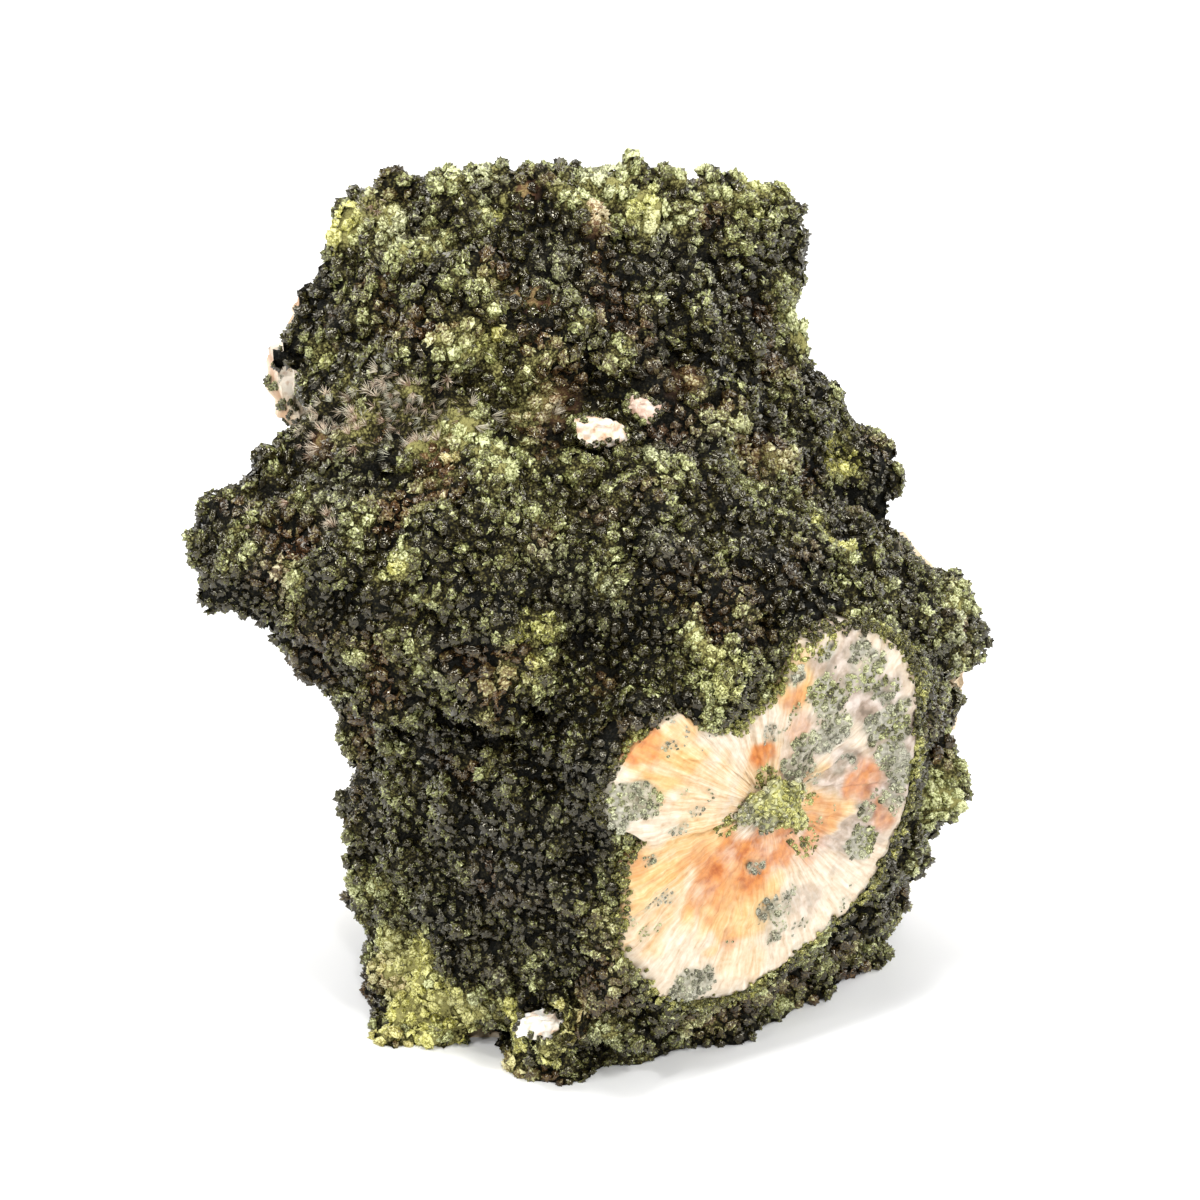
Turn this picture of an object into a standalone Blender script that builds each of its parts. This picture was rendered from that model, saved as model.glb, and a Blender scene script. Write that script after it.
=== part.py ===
"""An epidote crystal cluster: a knobbly crust of dark green crystals grown on pale broken rock.

A broken fan of pale fibres lies in its front right side, and a few pale chips sit in its hollows.

Run it with: blender --background --python part.py
The sizes and corner points below are in millimetres. +Z is up and the viewer stands at -Y.
The origin is on the flat underside, near its middle.
"""

import math
import random

import bmesh
import bpy
from mathutils import Matrix, Vector

MM = 0.001
SEED = 11

# Air left between two pieces that touch
GAP = 0.3

# Points this near are one point, and sides this near to parallel never meet
WELD = 1e-4
PARALLEL = 1e-9

# Grain of the fused mass: cell size, and how softly its corners are worn
VOXEL = 1.0
SOFTENING = 5

# Broad swells of the mass under the knobs: their size across and their height
SWELL_SIZE = 11.0
SWELL_HEIGHT = 3.0

# Rounded knobs of crystals that cover the mass
KNOB_RADIUS = (2.8, 4.4)
KNOB_SPACING = 6.2
KNOB_SINK = 0.55
KNOB_TRIES = 9000
KNOB_VOXEL = 0.8
MASS_TRIANGLES = 8000

# The mass, as the corners of the blocks that it is fused from
UPPER_BLOCK = [
    (-29, -6, 56), (-31, 3, 63), (-28, 5, 70), (-26, 7, 78), (-14, 5, 82), (0, 5, 81), (-4, -8, 72),
    (-16, -13, 70), (-16, -13, 62), (4, -8, 65), (9, 9, 78), (14, 14, 78), (21, 18, 75),
    (21, 18, 68), (20, 15, 60), (-27, 12, 58), (-24, 15, 72), (17, 24, 70), (0, 24, 72),
]
SHOULDER = [
    (9, 1, 65), (21, 15, 61), (24, 15, 56), (29, 14, 48), (31, 13, 44), (26, 12, 42),
    (9, -6, 53), (19, 2, 49), (14, 1, 59), (22, 7, 54), (18, 23, 60), (26, 22, 48), (4, 20, 50),
]
LEFT_LOBE = [
    (-39, -17, 50), (-35, -13, 54), (-31, -10, 57), (-28, -8, 59), (-17, -15, 61), (-6, -18, 61),
    (-24, -26, 53), (-11, -29, 55), (-3, -27, 53), (-7, -32, 46), (-36, -19, 46), (-31, -20, 40),
    (-26, -20, 37), (-20, -26, 39), (-15, -29, 38), (-9, -29, 39), (-3, -28, 41), (-2, -26, 46),
    (-28, 0, 46), (-26, 4, 60), (-8, 0, 38), (-4, 0, 63),
]
CENTRE_RIDGE = [
    (-3, -17, 60), (4, -17, 60), (9, -16, 57), (15, -15, 54), (0, -27, 53), (8, -26, 53),
    (13, -27, 50), (0, -26, 45), (8, -28, 46), (4, -24, 36), (0, -22, 36), (14, 0, 58), (-2, 0, 62),
]
MIDDLE_LOBE = [
    (8, -29, 46), (13, -28, 46), (18, -23, 44), (9, -33, 42), (13, -33, 41), (15, -30, 40),
    (10, -31, 38), (13, -31, 38), (5, -24, 39), (16, -16, 44), (8, -14, 44),
]
RIGHT_RIDGE = [
    (14, -15, 54), (22, -9, 52), (27, -2, 47), (33, 2, 42), (37, 4, 37), (39, 4, 35), (39, 3, 30),
    (18, -19, 50), (25, -14, 46), (19, -22, 46), (28, -16, 42), (34, -6, 34), (36, 14, 34),
    (25, 14, 43), (14, 4, 50), (16, 4, 32), (12, -20, 50),
]
VALLEY = [
    (8, -25, 51), (17, -21, 50), (10, -26, 44), (20, -21, 44),
    (6, -10, 56), (20, -10, 52), (14, -10, 42),
]
LOWER_LEFT = [
    (-26, -8, 33), (-23, -7, 24), (-22, -8, 21), (-24, -10, 15), (-24, -12, 10), (-21, -12, 0),
    (-6, -22, 35), (-5, -31, 30), (-3, -31, 20), (0, -30, 9), (-2, -26, -2), (-10, -24, 6),
    (-16, -17, 28), (-22, -15, -2),
    (-23, 14, 30), (-22, 14, -2), (0, 14, -2), (-25, -7, 41), (-25, 12, 44),
]
LOWER_RIGHT = [
    (-3, -33, 30), (-3, -33, 35), (0, -33, 40), (5, -32, 42), (-1, -32, 20), (1, -32, 13), (5, -28, 7),
    (14, -23, 7), (24, -19, 43),
    (31, -14, 37), (31, -14, 28), (28, -15, 18), (19, -20, 10), (36, 2, 25), (35, -2, 17),
    (33, -4, 11), (27, -2, -2), (20, -11, -2), (12, -17, -2), (2, -23, -2), (35, 14, 27),
    (28, 14, -2), (0, 14, -2), (0, 0, 40),
]
LEFT_FOOT = [
    (-23, -13, 9), (-24, -14, 4), (-23, -18, -2), (-15, -21, -2), (-13, -18, -2), (-13, -22, 6),
    (-16, -16, 12), (-21, -6, -2), (-12, -8, 10),
]
FRONT_FOOT = [
    (-10, -26, 3), (-9, -25, -2), (-6, -27, -2), (0, -25, -2), (-4, -29, 9), (-11, -25, 8),
    (2, -16, -2), (-8, -16, -2), (0, -18, 10),
]
CORE = [
    (-20, 0, 6), (-20, 14, 6), (28, 0, 6), (30, 14, 10), (-20, 14, 68), (16, 14, 70),
    (-18, -8, 62), (10, -6, 63), (2, -10, 62), (26, 14, 44), (-8, -16, 10), (4, -20, 12),
    (-10, -16, 58), (8, -14, 56), (18, -14, 44),
]
MASS_BLOCKS = (
    UPPER_BLOCK, SHOULDER, LEFT_LOBE, CENTRE_RIDGE, MIDDLE_LOBE, RIGHT_RIDGE, VALLEY,
    LOWER_LEFT, LOWER_RIGHT, LEFT_FOOT, FRONT_FOOT, CORE,
)

# The pale broken rock that the crust grew on: a slab behind, its bare edge at the upper left,
# and a tongue of it that runs forward under the crust to the opening between the feet
ROCK_SLAB = [
    (-22, 12, -2), (-20, 26, -2), (22, 27, -2), (27, 13, -2), (33, 12, 14), (39, 9, 25), (38, 12, 32),
    (30, 24, 20), (24, 24, 40), (18, 14, 56), (14, 25, 60), (8, 17, 70), (0, 27, 64), (-8, 15, 72),
    (-21, 24, 58), (-25, 14, 68), (-29, 12, 54), (-24, 26, 30), (-22, 12, 30),
]
ROCK_EDGE = [
    (-32, 5, 65), (-33, 6, 61), (-32, 5, 56), (-30, 2, 56), (-30, 2, 64), (-31, 18, 57),
    (-28, 20, 66), (-22, 16, 46), (-16, 16, 58), (-18, 16, 72), (-26, 16, 72),
]
ROCK_TONGUE = [
    (-15, -18, -2), (-10, -19, -2), (-15, -18, 4), (-10, -18, 5), (8, -8, -2), (10, -3, 6),
    (22, 14, -2), (18, 16, 30), (-20, 14, -2), (-18, 16, 30), (-16, -6, 7), (0, 16, 40),
]
ROCK_BLOCKS = (ROCK_SLAB, ROCK_EDGE, ROCK_TONGUE)

# The rock's grain, the room left for it in the crust beyond the gap, how far back its broken face
# starts and is in full, and the broad hollows of that face
ROCK_VOXEL = 0.8
ROCK_SLACK = 0.4
ROCK_BARE = (15, 20)
ROCK_SWELL_SIZE = 8.0
ROCK_SWELL_HEIGHT = 4.0
ROCK_TRIANGLES = 1000

# The opening under the crust between its two feet
ARCH_CENTRE = (-12.5, -23, 0)
ARCH_RADIUS = 3.6

# The fan of fibres: where its fibres meet, how far it is turned right and tipped forwards in degrees,
# how thick it is, and how far the crust round it may lean over its face
FAN_CENTRE = (15.7, -25, 28)
FAN_YAW = 32.0
FAN_TIP = 5.0
FAN_DEPTH = 5.0
CLEAR_WAY = 1.2

# Its fibres: the rays round it, its rings as shares of the way out, the flat share under the tuft,
# the height of the ridges, and the share of that by which each ring breaks them
FAN_RAYS = 80
FAN_RINGS = (0.28, 0.52, 0.76, 1.0)
FAN_FLAT = 0.3
FIBRE_RELIEF = 0.3
FIBRE_BREAK = 0.33

# The fan's outline, across and up from its middle
FAN_OUTLINE = [
    (17.0, 3.0), (16.4, 9.3), (14.5, 13.0), (11.8, 15.2), (8.5, 16.6), (5.4, 16.8), (2.4, 16.4),
    (2.0, 14.8), (0.4, 11.8), (-1.8, 9.8), (-3.6, 8.8), (-6.4, 9.3), (-10.3, 12.4), (-12.5, 12.2),
    (-15.5, 10.2), (-17.6, 7.4), (-18.2, 5.0), (-17.6, 2.4), (-13.6, 0.4), (-15.3, -2.4),
    (-15.0, -5.6), (-15.6, -8.6), (-15.2, -12.0), (-13.0, -15.0), (-10.8, -17.8), (-5.9, -19.7),
    (-2.6, -20.2), (0.4, -19.3), (7.1, -16.1), (12.6, -12.6), (15.4, -7.8), (16.6, -2.2),
]

# The tuft of green crystals on the fan, as (across, up, radius) of its knobs, and the share of its
# radius by which each knob's middle stands clear of the fan
TUFT_KNOBS = [
    (0.4, 0.4, 2.2), (-1.8, 1.2, 1.8), (2.0, -0.9, 1.7), (-3.2, 0.2, 1.4), (2.4, 1.6, 1.5),
    (0.2, 2.6, 1.3), (3.6, -2.2, 1.2), (-0.6, -1.4, 1.4),
]
TUFT_RISE = 0.15
TUFT_VOXEL = 0.5
TUFT_TRIANGLES = 320

# Pale chips held in the crust, as (name, centre, half sizes, turn in degrees), and how far out
# each corner of the box that a chip is broken from stays
CHIPS = [
    ("saddle_chip", (0, -13, 61.2), (2.4, 1.9, 1.6), 20),
    ("pink_chip", (3.9, -10.9, 62.6), (2.0, 1.6, 1.5), -25),
    ("foot_chip", (-5.2, -27.6, 6.6), (2.4, 1.7, 1.6), 10),
]
CHIP_CORNER = (0.4, 1.0)

# How far the blocks that cut things level reach: round the ground, below it, and round the tuft
GROUND_REACH = 80
GROUND_DEPTH = 20
TUFT_REACH = 30

# The rounded pieces, and the sharpest bend in degrees that is shaded smooth on them
ROUNDED = ("epidote_mass", "fan_tuft")
SMOOTH_ANGLE = 50

# Colour, roughness and metallic value of each piece
MATERIALS = {
    "epidote_mass": ((0.035, 0.045, 0.012), 0.25, 0.0),
    "rock_matrix": ((0.70, 0.58, 0.47), 0.85, 0.0),
    "fibrous_fan": ((0.83, 0.66, 0.47), 0.60, 0.0),
    "fan_tuft": ((0.20, 0.22, 0.06), 0.50, 0.0),
    "saddle_chip": ((0.86, 0.76, 0.66), 0.45, 0.0),
    "pink_chip": ((0.80, 0.62, 0.55), 0.45, 0.0),
    "foot_chip": ((0.88, 0.84, 0.78), 0.45, 0.0),
}


def add_object(name, bm, collection):
    mesh = bpy.data.meshes.new(name)
    bm.normal_update()
    bm.to_mesh(mesh)
    bm.free()
    obj = bpy.data.objects.new(name, mesh)
    collection.objects.link(obj)
    return obj


def bake(obj):
    """Give the object the mesh that its modifiers make."""
    depsgraph = bpy.context.evaluated_depsgraph_get()
    mesh = bpy.data.meshes.new_from_object(obj.evaluated_get(depsgraph))
    obj.modifiers.clear()
    obj.data = mesh


def hull(bm, corners):
    """Add one solid block with the given corners."""
    verts = [bm.verts.new(Vector(corner) * MM) for corner in corners]
    made = bmesh.ops.convex_hull(bm, input=verts)
    bmesh.ops.delete(bm, geom=made["geom_interior"], context="VERTS")


def pushed_out(corners, gap):
    """The corners of a block whose faces all lie a gap outside those of the given block."""
    bm = bmesh.new()
    hull(bm, corners)
    bm.normal_update()
    moved = [vert.co / MM + face.normal * gap for vert in bm.verts for face in vert.link_faces]
    bm.free()
    return moved


def keep_outer_skin(obj):
    """Drop any small closed pocket that fusing left inside."""
    bm = bmesh.new()
    bm.from_mesh(obj.data)
    unseen = set(bm.verts)
    skins = []
    while unseen:
        front = [unseen.pop()]
        skin = list(front)
        while front:
            vert = front.pop()
            for edge in vert.link_edges:
                other = edge.other_vert(vert)
                if other in unseen:
                    unseen.remove(other)
                    front.append(other)
                    skin.append(other)
        skins.append(skin)
    largest = max(skins, key=len)
    loose = [vert for skin in skins if skin is not largest for vert in skin]
    bmesh.ops.delete(bm, geom=loose, context="VERTS")
    bm.to_mesh(obj.data)
    bm.free()


def fuse(obj, voxel, softening):
    """Melt overlapping blocks into one skin and soften its corners."""
    remesh = obj.modifiers.new("fuse", "REMESH")
    remesh.mode = "VOXEL"
    remesh.voxel_size = voxel * MM
    smooth = obj.modifiers.new("soften", "SMOOTH")
    smooth.factor = 0.5
    smooth.iterations = softening
    bake(obj)
    keep_outer_skin(obj)


def swell(obj, size, height, level=0.5, share=None):
    """Move the skin in broad random swells. At level 0.5 they go out and in, and at level 1 only in.

    The share function, where there is one, says how much of them each point gets.
    """
    texture = bpy.data.textures.new(obj.name + "_swells", "CLOUDS")
    texture.noise_scale = size * MM
    displace = obj.modifiers.new("swells", "DISPLACE")
    displace.texture = texture
    displace.strength = height * MM
    displace.mid_level = level
    if share:
        group = obj.vertex_groups.new(name="swells")
        for vert in obj.data.vertices:
            group.add([vert.index], share(vert.co / MM), "REPLACE")
        displace.vertex_group = group.name
    bake(obj)
    obj.vertex_groups.clear()


def thin_out(obj, triangles):
    """Keep about this many triangles, most of them where the skin bends."""
    faces = sum(len(polygon.vertices) - 2 for polygon in obj.data.polygons)
    decimate = obj.modifiers.new("thin out", "DECIMATE")
    decimate.ratio = triangles / faces
    bake(obj)


def spread_points(mesh, spacing, tries, rng):
    """Random points on the skin, none nearer to another than spacing, each with the skin's normal."""
    polygons = list(mesh.polygons)
    areas = [polygon.area for polygon in polygons]
    kept = []
    cells = {}
    for polygon in rng.choices(polygons, weights=areas, k=tries):
        point = polygon.center / MM
        column, row, layer = (math.floor(c / spacing) for c in point)
        near = [
            other
            for i in (-1, 0, 1)
            for j in (-1, 0, 1)
            for k in (-1, 0, 1)
            for other in cells.get((column + i, row + j, layer + k), [])
        ]
        if all((point - other).length > spacing for other in near):
            cells.setdefault((column, row, layer), []).append(point)
            kept.append((point, polygon.normal.copy()))
    return kept


def grow_knobs(obj, rng):
    """Cover the mass with rounded knobs of crystals."""
    bm = bmesh.new()
    bm.from_mesh(obj.data)
    for point, normal in spread_points(obj.data, KNOB_SPACING, KNOB_TRIES, rng):
        radius = rng.uniform(*KNOB_RADIUS)
        centre = point - normal * radius * KNOB_SINK
        place = Matrix.Translation(centre * MM)
        bmesh.ops.create_icosphere(bm, subdivisions=2, radius=radius * MM, matrix=place)
    bm.to_mesh(obj.data)
    bm.free()


def make_mass(collection):
    bm = bmesh.new()
    for block in MASS_BLOCKS:
        hull(bm, block)
    mass = add_object("epidote_mass", bm, collection)
    fuse(mass, VOXEL, SOFTENING)
    swell(mass, SWELL_SIZE, SWELL_HEIGHT)
    grow_knobs(mass, random.Random(SEED))
    fuse(mass, KNOB_VOXEL, 1)
    thin_out(mass, MASS_TRIANGLES)
    return mass


def bare_share(point):
    """How far a point of the rock is clear of the crust: 0 in front, 1 on the broken back."""
    front, back = ROCK_BARE
    return min(max((point.y - front) / (back - front), 0), 1)


def make_rock(collection):
    bm = bmesh.new()
    for block in ROCK_BLOCKS:
        hull(bm, block)
    rock = add_object("rock_matrix", bm, collection)
    fuse(rock, ROCK_VOXEL, 0)
    swell(rock, ROCK_SWELL_SIZE, ROCK_SWELL_HEIGHT, 1, bare_share)
    fuse(rock, ROCK_VOXEL, 0)
    thin_out(rock, ROCK_TRIANGLES)
    return rock


def fan_frame():
    """The place of the fan: its X runs across it, its Y up it and its Z out of its broken face."""
    turn = Matrix.Rotation(math.radians(FAN_YAW), 4, "Z")
    lean = Matrix.Rotation(math.radians(90 + FAN_TIP), 4, "X")
    return Matrix.Translation(Vector(FAN_CENTRE) * MM) @ turn @ lean


def outline_radius(angle):
    """How far the fan's outline is from its middle in this direction."""
    ray = Vector((math.cos(angle), math.sin(angle)))
    for start, end in zip(FAN_OUTLINE, FAN_OUTLINE[1:] + FAN_OUTLINE[:1]):
        a = Vector(start)
        side = Vector(end) - a
        across = ray.x * side.y - ray.y * side.x
        if abs(across) < PARALLEL:
            continue
        reach = (a.x * side.y - a.y * side.x) / across
        along = (a.x * ray.y - a.y * ray.x) / across
        if reach > 0 and 0 <= along <= 1:
            return reach
    raise ValueError("the fan's outline is open")


def fan_solid(name, collection, grow, top, bottom, relief, rng):
    """A disc with the fan's outline and with ridges of fibres that run out from its middle."""
    bm = bmesh.new()
    profile = [(0, top)] + [(ring, top) for ring in FAN_RINGS] + [(1, bottom), (0, bottom)]
    verts = [bm.verts.new((radius, 0, height)) for radius, height in profile]
    edges = [bm.edges.new(pair) for pair in zip(verts, verts[1:])]
    bmesh.ops.spin(
        bm, geom=verts + edges, cent=(0, 0, 0), axis=(0, 0, 1),
        angle=math.tau, steps=FAN_RAYS, use_merge=True,
    )
    bmesh.ops.remove_doubles(bm, verts=bm.verts, dist=WELD)
    bmesh.ops.recalc_face_normals(bm, faces=bm.faces)
    ridges = [rng.uniform(-relief, relief) for _ in range(FAN_RAYS)]
    for vert in bm.verts:
        share = math.hypot(vert.co.x, vert.co.y)
        angle = math.atan2(vert.co.y, vert.co.x)
        reach = share * (outline_radius(angle) + grow) if share else 0
        ray = round(angle / math.tau * FAN_RAYS) % FAN_RAYS
        height = vert.co.z
        if height == top and share > FAN_FLAT:
            height += ridges[ray] + rng.uniform(-relief, relief) * FIBRE_BREAK
        vert.co = Vector((math.cos(angle) * reach, math.sin(angle) * reach, height)) * MM
    bm.transform(fan_frame())
    return add_object(name, bm, collection)


def make_tuft(collection):
    """A low clump of knobs that stands on the fan's middle."""
    bm = bmesh.new()
    for across, up, radius in TUFT_KNOBS:
        place = Matrix.Translation(Vector((across, up, GAP + radius * TUFT_RISE)) * MM)
        bmesh.ops.create_icosphere(bm, subdivisions=2, radius=radius * MM, matrix=place)
    bm.transform(fan_frame())
    tuft = add_object("fan_tuft", bm, collection)
    fuse(tuft, TUFT_VOXEL, 1)
    thin_out(tuft, TUFT_TRIANGLES)
    return tuft


def chip_corners(centre, half_sizes, turn, rng):
    """A broken chip: the corners of a box, each pulled in by chance, and the middle of each side."""
    corners = []
    for x in (-1, 1):
        for y in (-1, 1):
            for z in (-1, 1):
                corners.append([side * rng.uniform(*CHIP_CORNER) for side in (x, y, z)])
    for axis in range(3):
        for side in (-1, 1):
            corners.append([side if axis == other else 0 for other in range(3)])
    turned = Matrix.Rotation(math.radians(turn), 3, "Z")
    sized = [Vector(share * half for share, half in zip(corner, half_sizes)) for corner in corners]
    return [Vector(centre) + turned @ corner for corner in sized]


def block_object(name, corners, collection):
    bm = bmesh.new()
    hull(bm, corners)
    return add_object(name, bm, collection)


def box_solid(name, low, high, collection):
    bm = bmesh.new()
    size = Vector(high) - Vector(low)
    middle = (Vector(high) + Vector(low)) / 2
    place = Matrix.Translation(middle * MM) @ Matrix.Diagonal((*(size * MM), 1))
    bmesh.ops.create_cube(bm, size=1, matrix=place)
    return add_object(name, bm, collection)


def cut(obj, cutter):
    """Take the cutter's space out of the object, and keep the cutter as a wire guide."""
    boolean = obj.modifiers.new("cut by " + cutter.name, "BOOLEAN")
    boolean.operation = "DIFFERENCE"
    boolean.solver = "EXACT"
    boolean.object = cutter
    cutter.hide_render = True
    cutter.display_type = "WIRE"


def finish(obj):
    """Give the object its own material, and smooth shading if it is a rounded piece."""
    colour, roughness, metallic = MATERIALS[obj.name]
    material = bpy.data.materials.new(obj.name)
    material.use_nodes = True
    shader = material.node_tree.nodes["Principled BSDF"]
    shader.inputs["Base Color"].default_value = (*colour, 1)
    shader.inputs["Roughness"].default_value = roughness
    shader.inputs["Metallic"].default_value = metallic
    obj.data.materials.clear()
    obj.data.materials.append(material)
    if obj.name in ROUNDED:
        obj.data.shade_smooth()
        obj.data.set_sharp_from_angle(angle=math.radians(SMOOTH_ANGLE))
    else:
        obj.data.shade_flat()


def main():
    for obj in list(bpy.data.objects):
        bpy.data.objects.remove(obj)
    parts = bpy.data.collections.new("epidote_crystal_cluster")
    cutters = bpy.data.collections.new("cutters")
    for collection in (parts, cutters):
        bpy.context.scene.collection.children.link(collection)

    low = (-GROUND_REACH, -GROUND_REACH, -GROUND_DEPTH)
    ground = box_solid("ground", low, (GROUND_REACH, GROUND_REACH, 0), cutters)
    rock = make_rock(parts)
    cut(rock, ground)
    bake(rock)

    mass = make_mass(parts)
    bottom = -FAN_DEPTH - GAP
    fan_room = fan_solid("fan_room", cutters, GAP, CLEAR_WAY, bottom, 0, random.Random(SEED))
    arch = bmesh.new()
    place = Matrix.Translation(Vector(ARCH_CENTRE) * MM)
    bmesh.ops.create_icosphere(arch, subdivisions=2, radius=ARCH_RADIUS * MM, matrix=place)
    rooms = [ground, fan_room, add_object("arch", arch, cutters)]
    for number, block in enumerate(ROCK_BLOCKS):
        corners = pushed_out(block, GAP + ROCK_SLACK)
        rooms.append(block_object("rock_room_%d" % number, corners, cutters))
    pieces = [mass, rock]
    rng = random.Random(SEED)
    for name, centre, half_sizes, turn in CHIPS:
        corners = chip_corners(centre, half_sizes, turn, rng)
        pieces.append(block_object(name, corners, parts))
        rooms.append(block_object(name + "_room", pushed_out(corners, GAP), cutters))
    for room in rooms:
        cut(mass, room)
    bake(mass)
    keep_outer_skin(mass)

    rng = random.Random(SEED)
    pieces.append(fan_solid("fibrous_fan", parts, 0, 0, -FAN_DEPTH, FIBRE_RELIEF, rng))
    tuft = make_tuft(parts)
    low = (-TUFT_REACH, -TUFT_REACH, -TUFT_REACH)
    tuft_floor = box_solid("tuft_floor", low, (TUFT_REACH, TUFT_REACH, GAP), cutters)
    tuft_floor.matrix_world = fan_frame()
    cut(tuft, tuft_floor)
    pieces.append(tuft)
    for piece in pieces:
        finish(piece)


main()
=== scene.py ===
"""The looks of the epidote crystal cluster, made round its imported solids.

Lengths are in millimetres where a name or comment doesn't say otherwise, and MM turns them into metres.
The viewer of the photo stands at -Y and +Z is up.
"""

import math

import bmesh
import bpy
import numpy as np
from mathutils import Matrix, Vector
from mathutils.bvhtree import BVHTree
from mathutils.kdtree import KDTree


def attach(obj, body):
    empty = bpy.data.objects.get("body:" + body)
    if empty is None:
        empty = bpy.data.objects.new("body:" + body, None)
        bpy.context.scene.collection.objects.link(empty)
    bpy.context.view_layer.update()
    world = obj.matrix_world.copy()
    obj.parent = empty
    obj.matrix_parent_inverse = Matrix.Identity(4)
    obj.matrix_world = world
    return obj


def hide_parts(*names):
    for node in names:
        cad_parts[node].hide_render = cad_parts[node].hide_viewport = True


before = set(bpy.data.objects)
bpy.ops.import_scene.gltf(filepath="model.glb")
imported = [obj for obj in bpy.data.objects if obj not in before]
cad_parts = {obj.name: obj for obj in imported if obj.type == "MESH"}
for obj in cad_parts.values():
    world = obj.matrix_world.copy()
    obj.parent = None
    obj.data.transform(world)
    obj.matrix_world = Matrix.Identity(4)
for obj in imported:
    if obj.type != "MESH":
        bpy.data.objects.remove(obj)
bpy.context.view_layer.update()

MM = 0.001
SEED = 7

# The photo's camera: how far it looks down in degrees, its distance from the point that it looks at,
# and the photo's pixels for a millimetre there
CAMERA_DOWN = math.radians(22)
CAMERA_DISTANCE = 380
CAMERA_TARGET = (0, -8, 42)
PIXELS_PER_MM = 10.4
PHOTO_MIDDLE = 600
SENSOR = 36

# The skin under the crystals: its grain, how deep it lies where no crevice is (below 0 is outwards), its
# lumps and the smaller knobs on them, their crevices in shares of a lump, and its soft rolls
SKIN_VOXEL = 0.8
SKIN_DEPTH = -0.35
LUMP_SIZE = 5.6
LUMP_DEPTH = 1.9
KNOB_SIZE = 2.5
KNOB_DEPTH = 0.9
CREVICE_WIDTH = 0.35
SKIN_ROLL = 1.0
SKIN_ROLL_SIZE = 2.0

# What faces down this near to the floor stays flat on it
FLOOR_BAND = 0.6

# How near to the fan the skin is made even, and how far it stands out there
BY_FAN = 1.4
RAISED_BY_FAN = 0.2

# Where the skin is also pushed out: which end of the cluster, from and to how far across, and how far out
END_PUSHES = ((-1, 30, 37, 1.2), (1, 33, 38, 0.6))

# The crust's tone, from 0 for black green to 1 for pale yellow green: what it starts from, and how much is
# added by patches of two sizes, raised places (painted light on the lumps and painted shade in their
# crevices), the upper block between two heights, the fan near by, and the spots of each list (the yellow
# ones partly painted light, the dark ones partly painted shade). Then how much darker the skin is, as
# painted shade in the gaps between the balls, and over which tone balls are mossy.
TONE_START = 0.36
TONE_PATCHES = (7, 0.75)
TONE_SMALL_PATCHES = (2.2, 0.55)
TONE_LIT_TOPS_SHADED_CREVICES = 0.70
TONE_UPPER = (48, 62, 0.08)
TONE_BY_FAN = 0.30
TONE_YELLOW_AND_LIT = 0.65
TONE_DARK_AND_SHADE = -0.24
TONE_RUST = 0.85
TONE_NEEDLE = 0.20
SKIN_PAINTED_SHADE = 0.12
MOSSY_OVER = 0.55

# Crystal balls of the crust: radius, how closely they stand and how deep they sit in radii, how they are
# stretched and tilted by chance, how many are tried, how near a solid may be in front of one, and how many
# shapes and random numbers there are
BALL_RADIUS = (0.36, 1.12)
BALL_SPACING = 1.16
BALL_SINK = 0.22
BALL_STRETCH = (0.75, 1.25)
BALL_TILT = 0.35
BALL_TRIES = 170000
BLOCKED_WITHIN = 0.8
BALL_SHAPES = 14
BALL_NUMBERS = 60

# How much larger the balls of the upper block are, and between which heights they grow
UPPER_GROWTH = 0.25
UPPER_FROM = (50, 60)

# Crystals that end within this share of a neighbouring ball are left out
NEIGHBOURS = 10
HIDDEN_WITHIN = 0.80

# The fine needles of a ball, as its radius in needle widths
NEEDLES = 5.0

# How much a crystal's tone departs from its ball's by chance and by place, the few luckiest being lighter
# still as pale tips and partly as painted glints
LUCK = 0.16
PALE_AND_GLINT_LUCK = 0.25
PALE_AND_GLINT_OVER = 0.84
FLECK = 0.50
FLECK_SIZE = 0.8

# The sprays of thin needles: their length in ball radii, how far they lean, the size of their swirls,
# and how much smaller the balls under them are
NEEDLE_LENGTH = 2.0
NEEDLE_LEAN = 1.9
NEEDLE_SWIRL = 3.5
NEEDLE_SHRINK = 0.42

# Bands of the crust from the foot up, each with as many balls as the next
BANDS = ("feet", "base", "waist", "lobes", "saddle", "crown")
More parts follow.
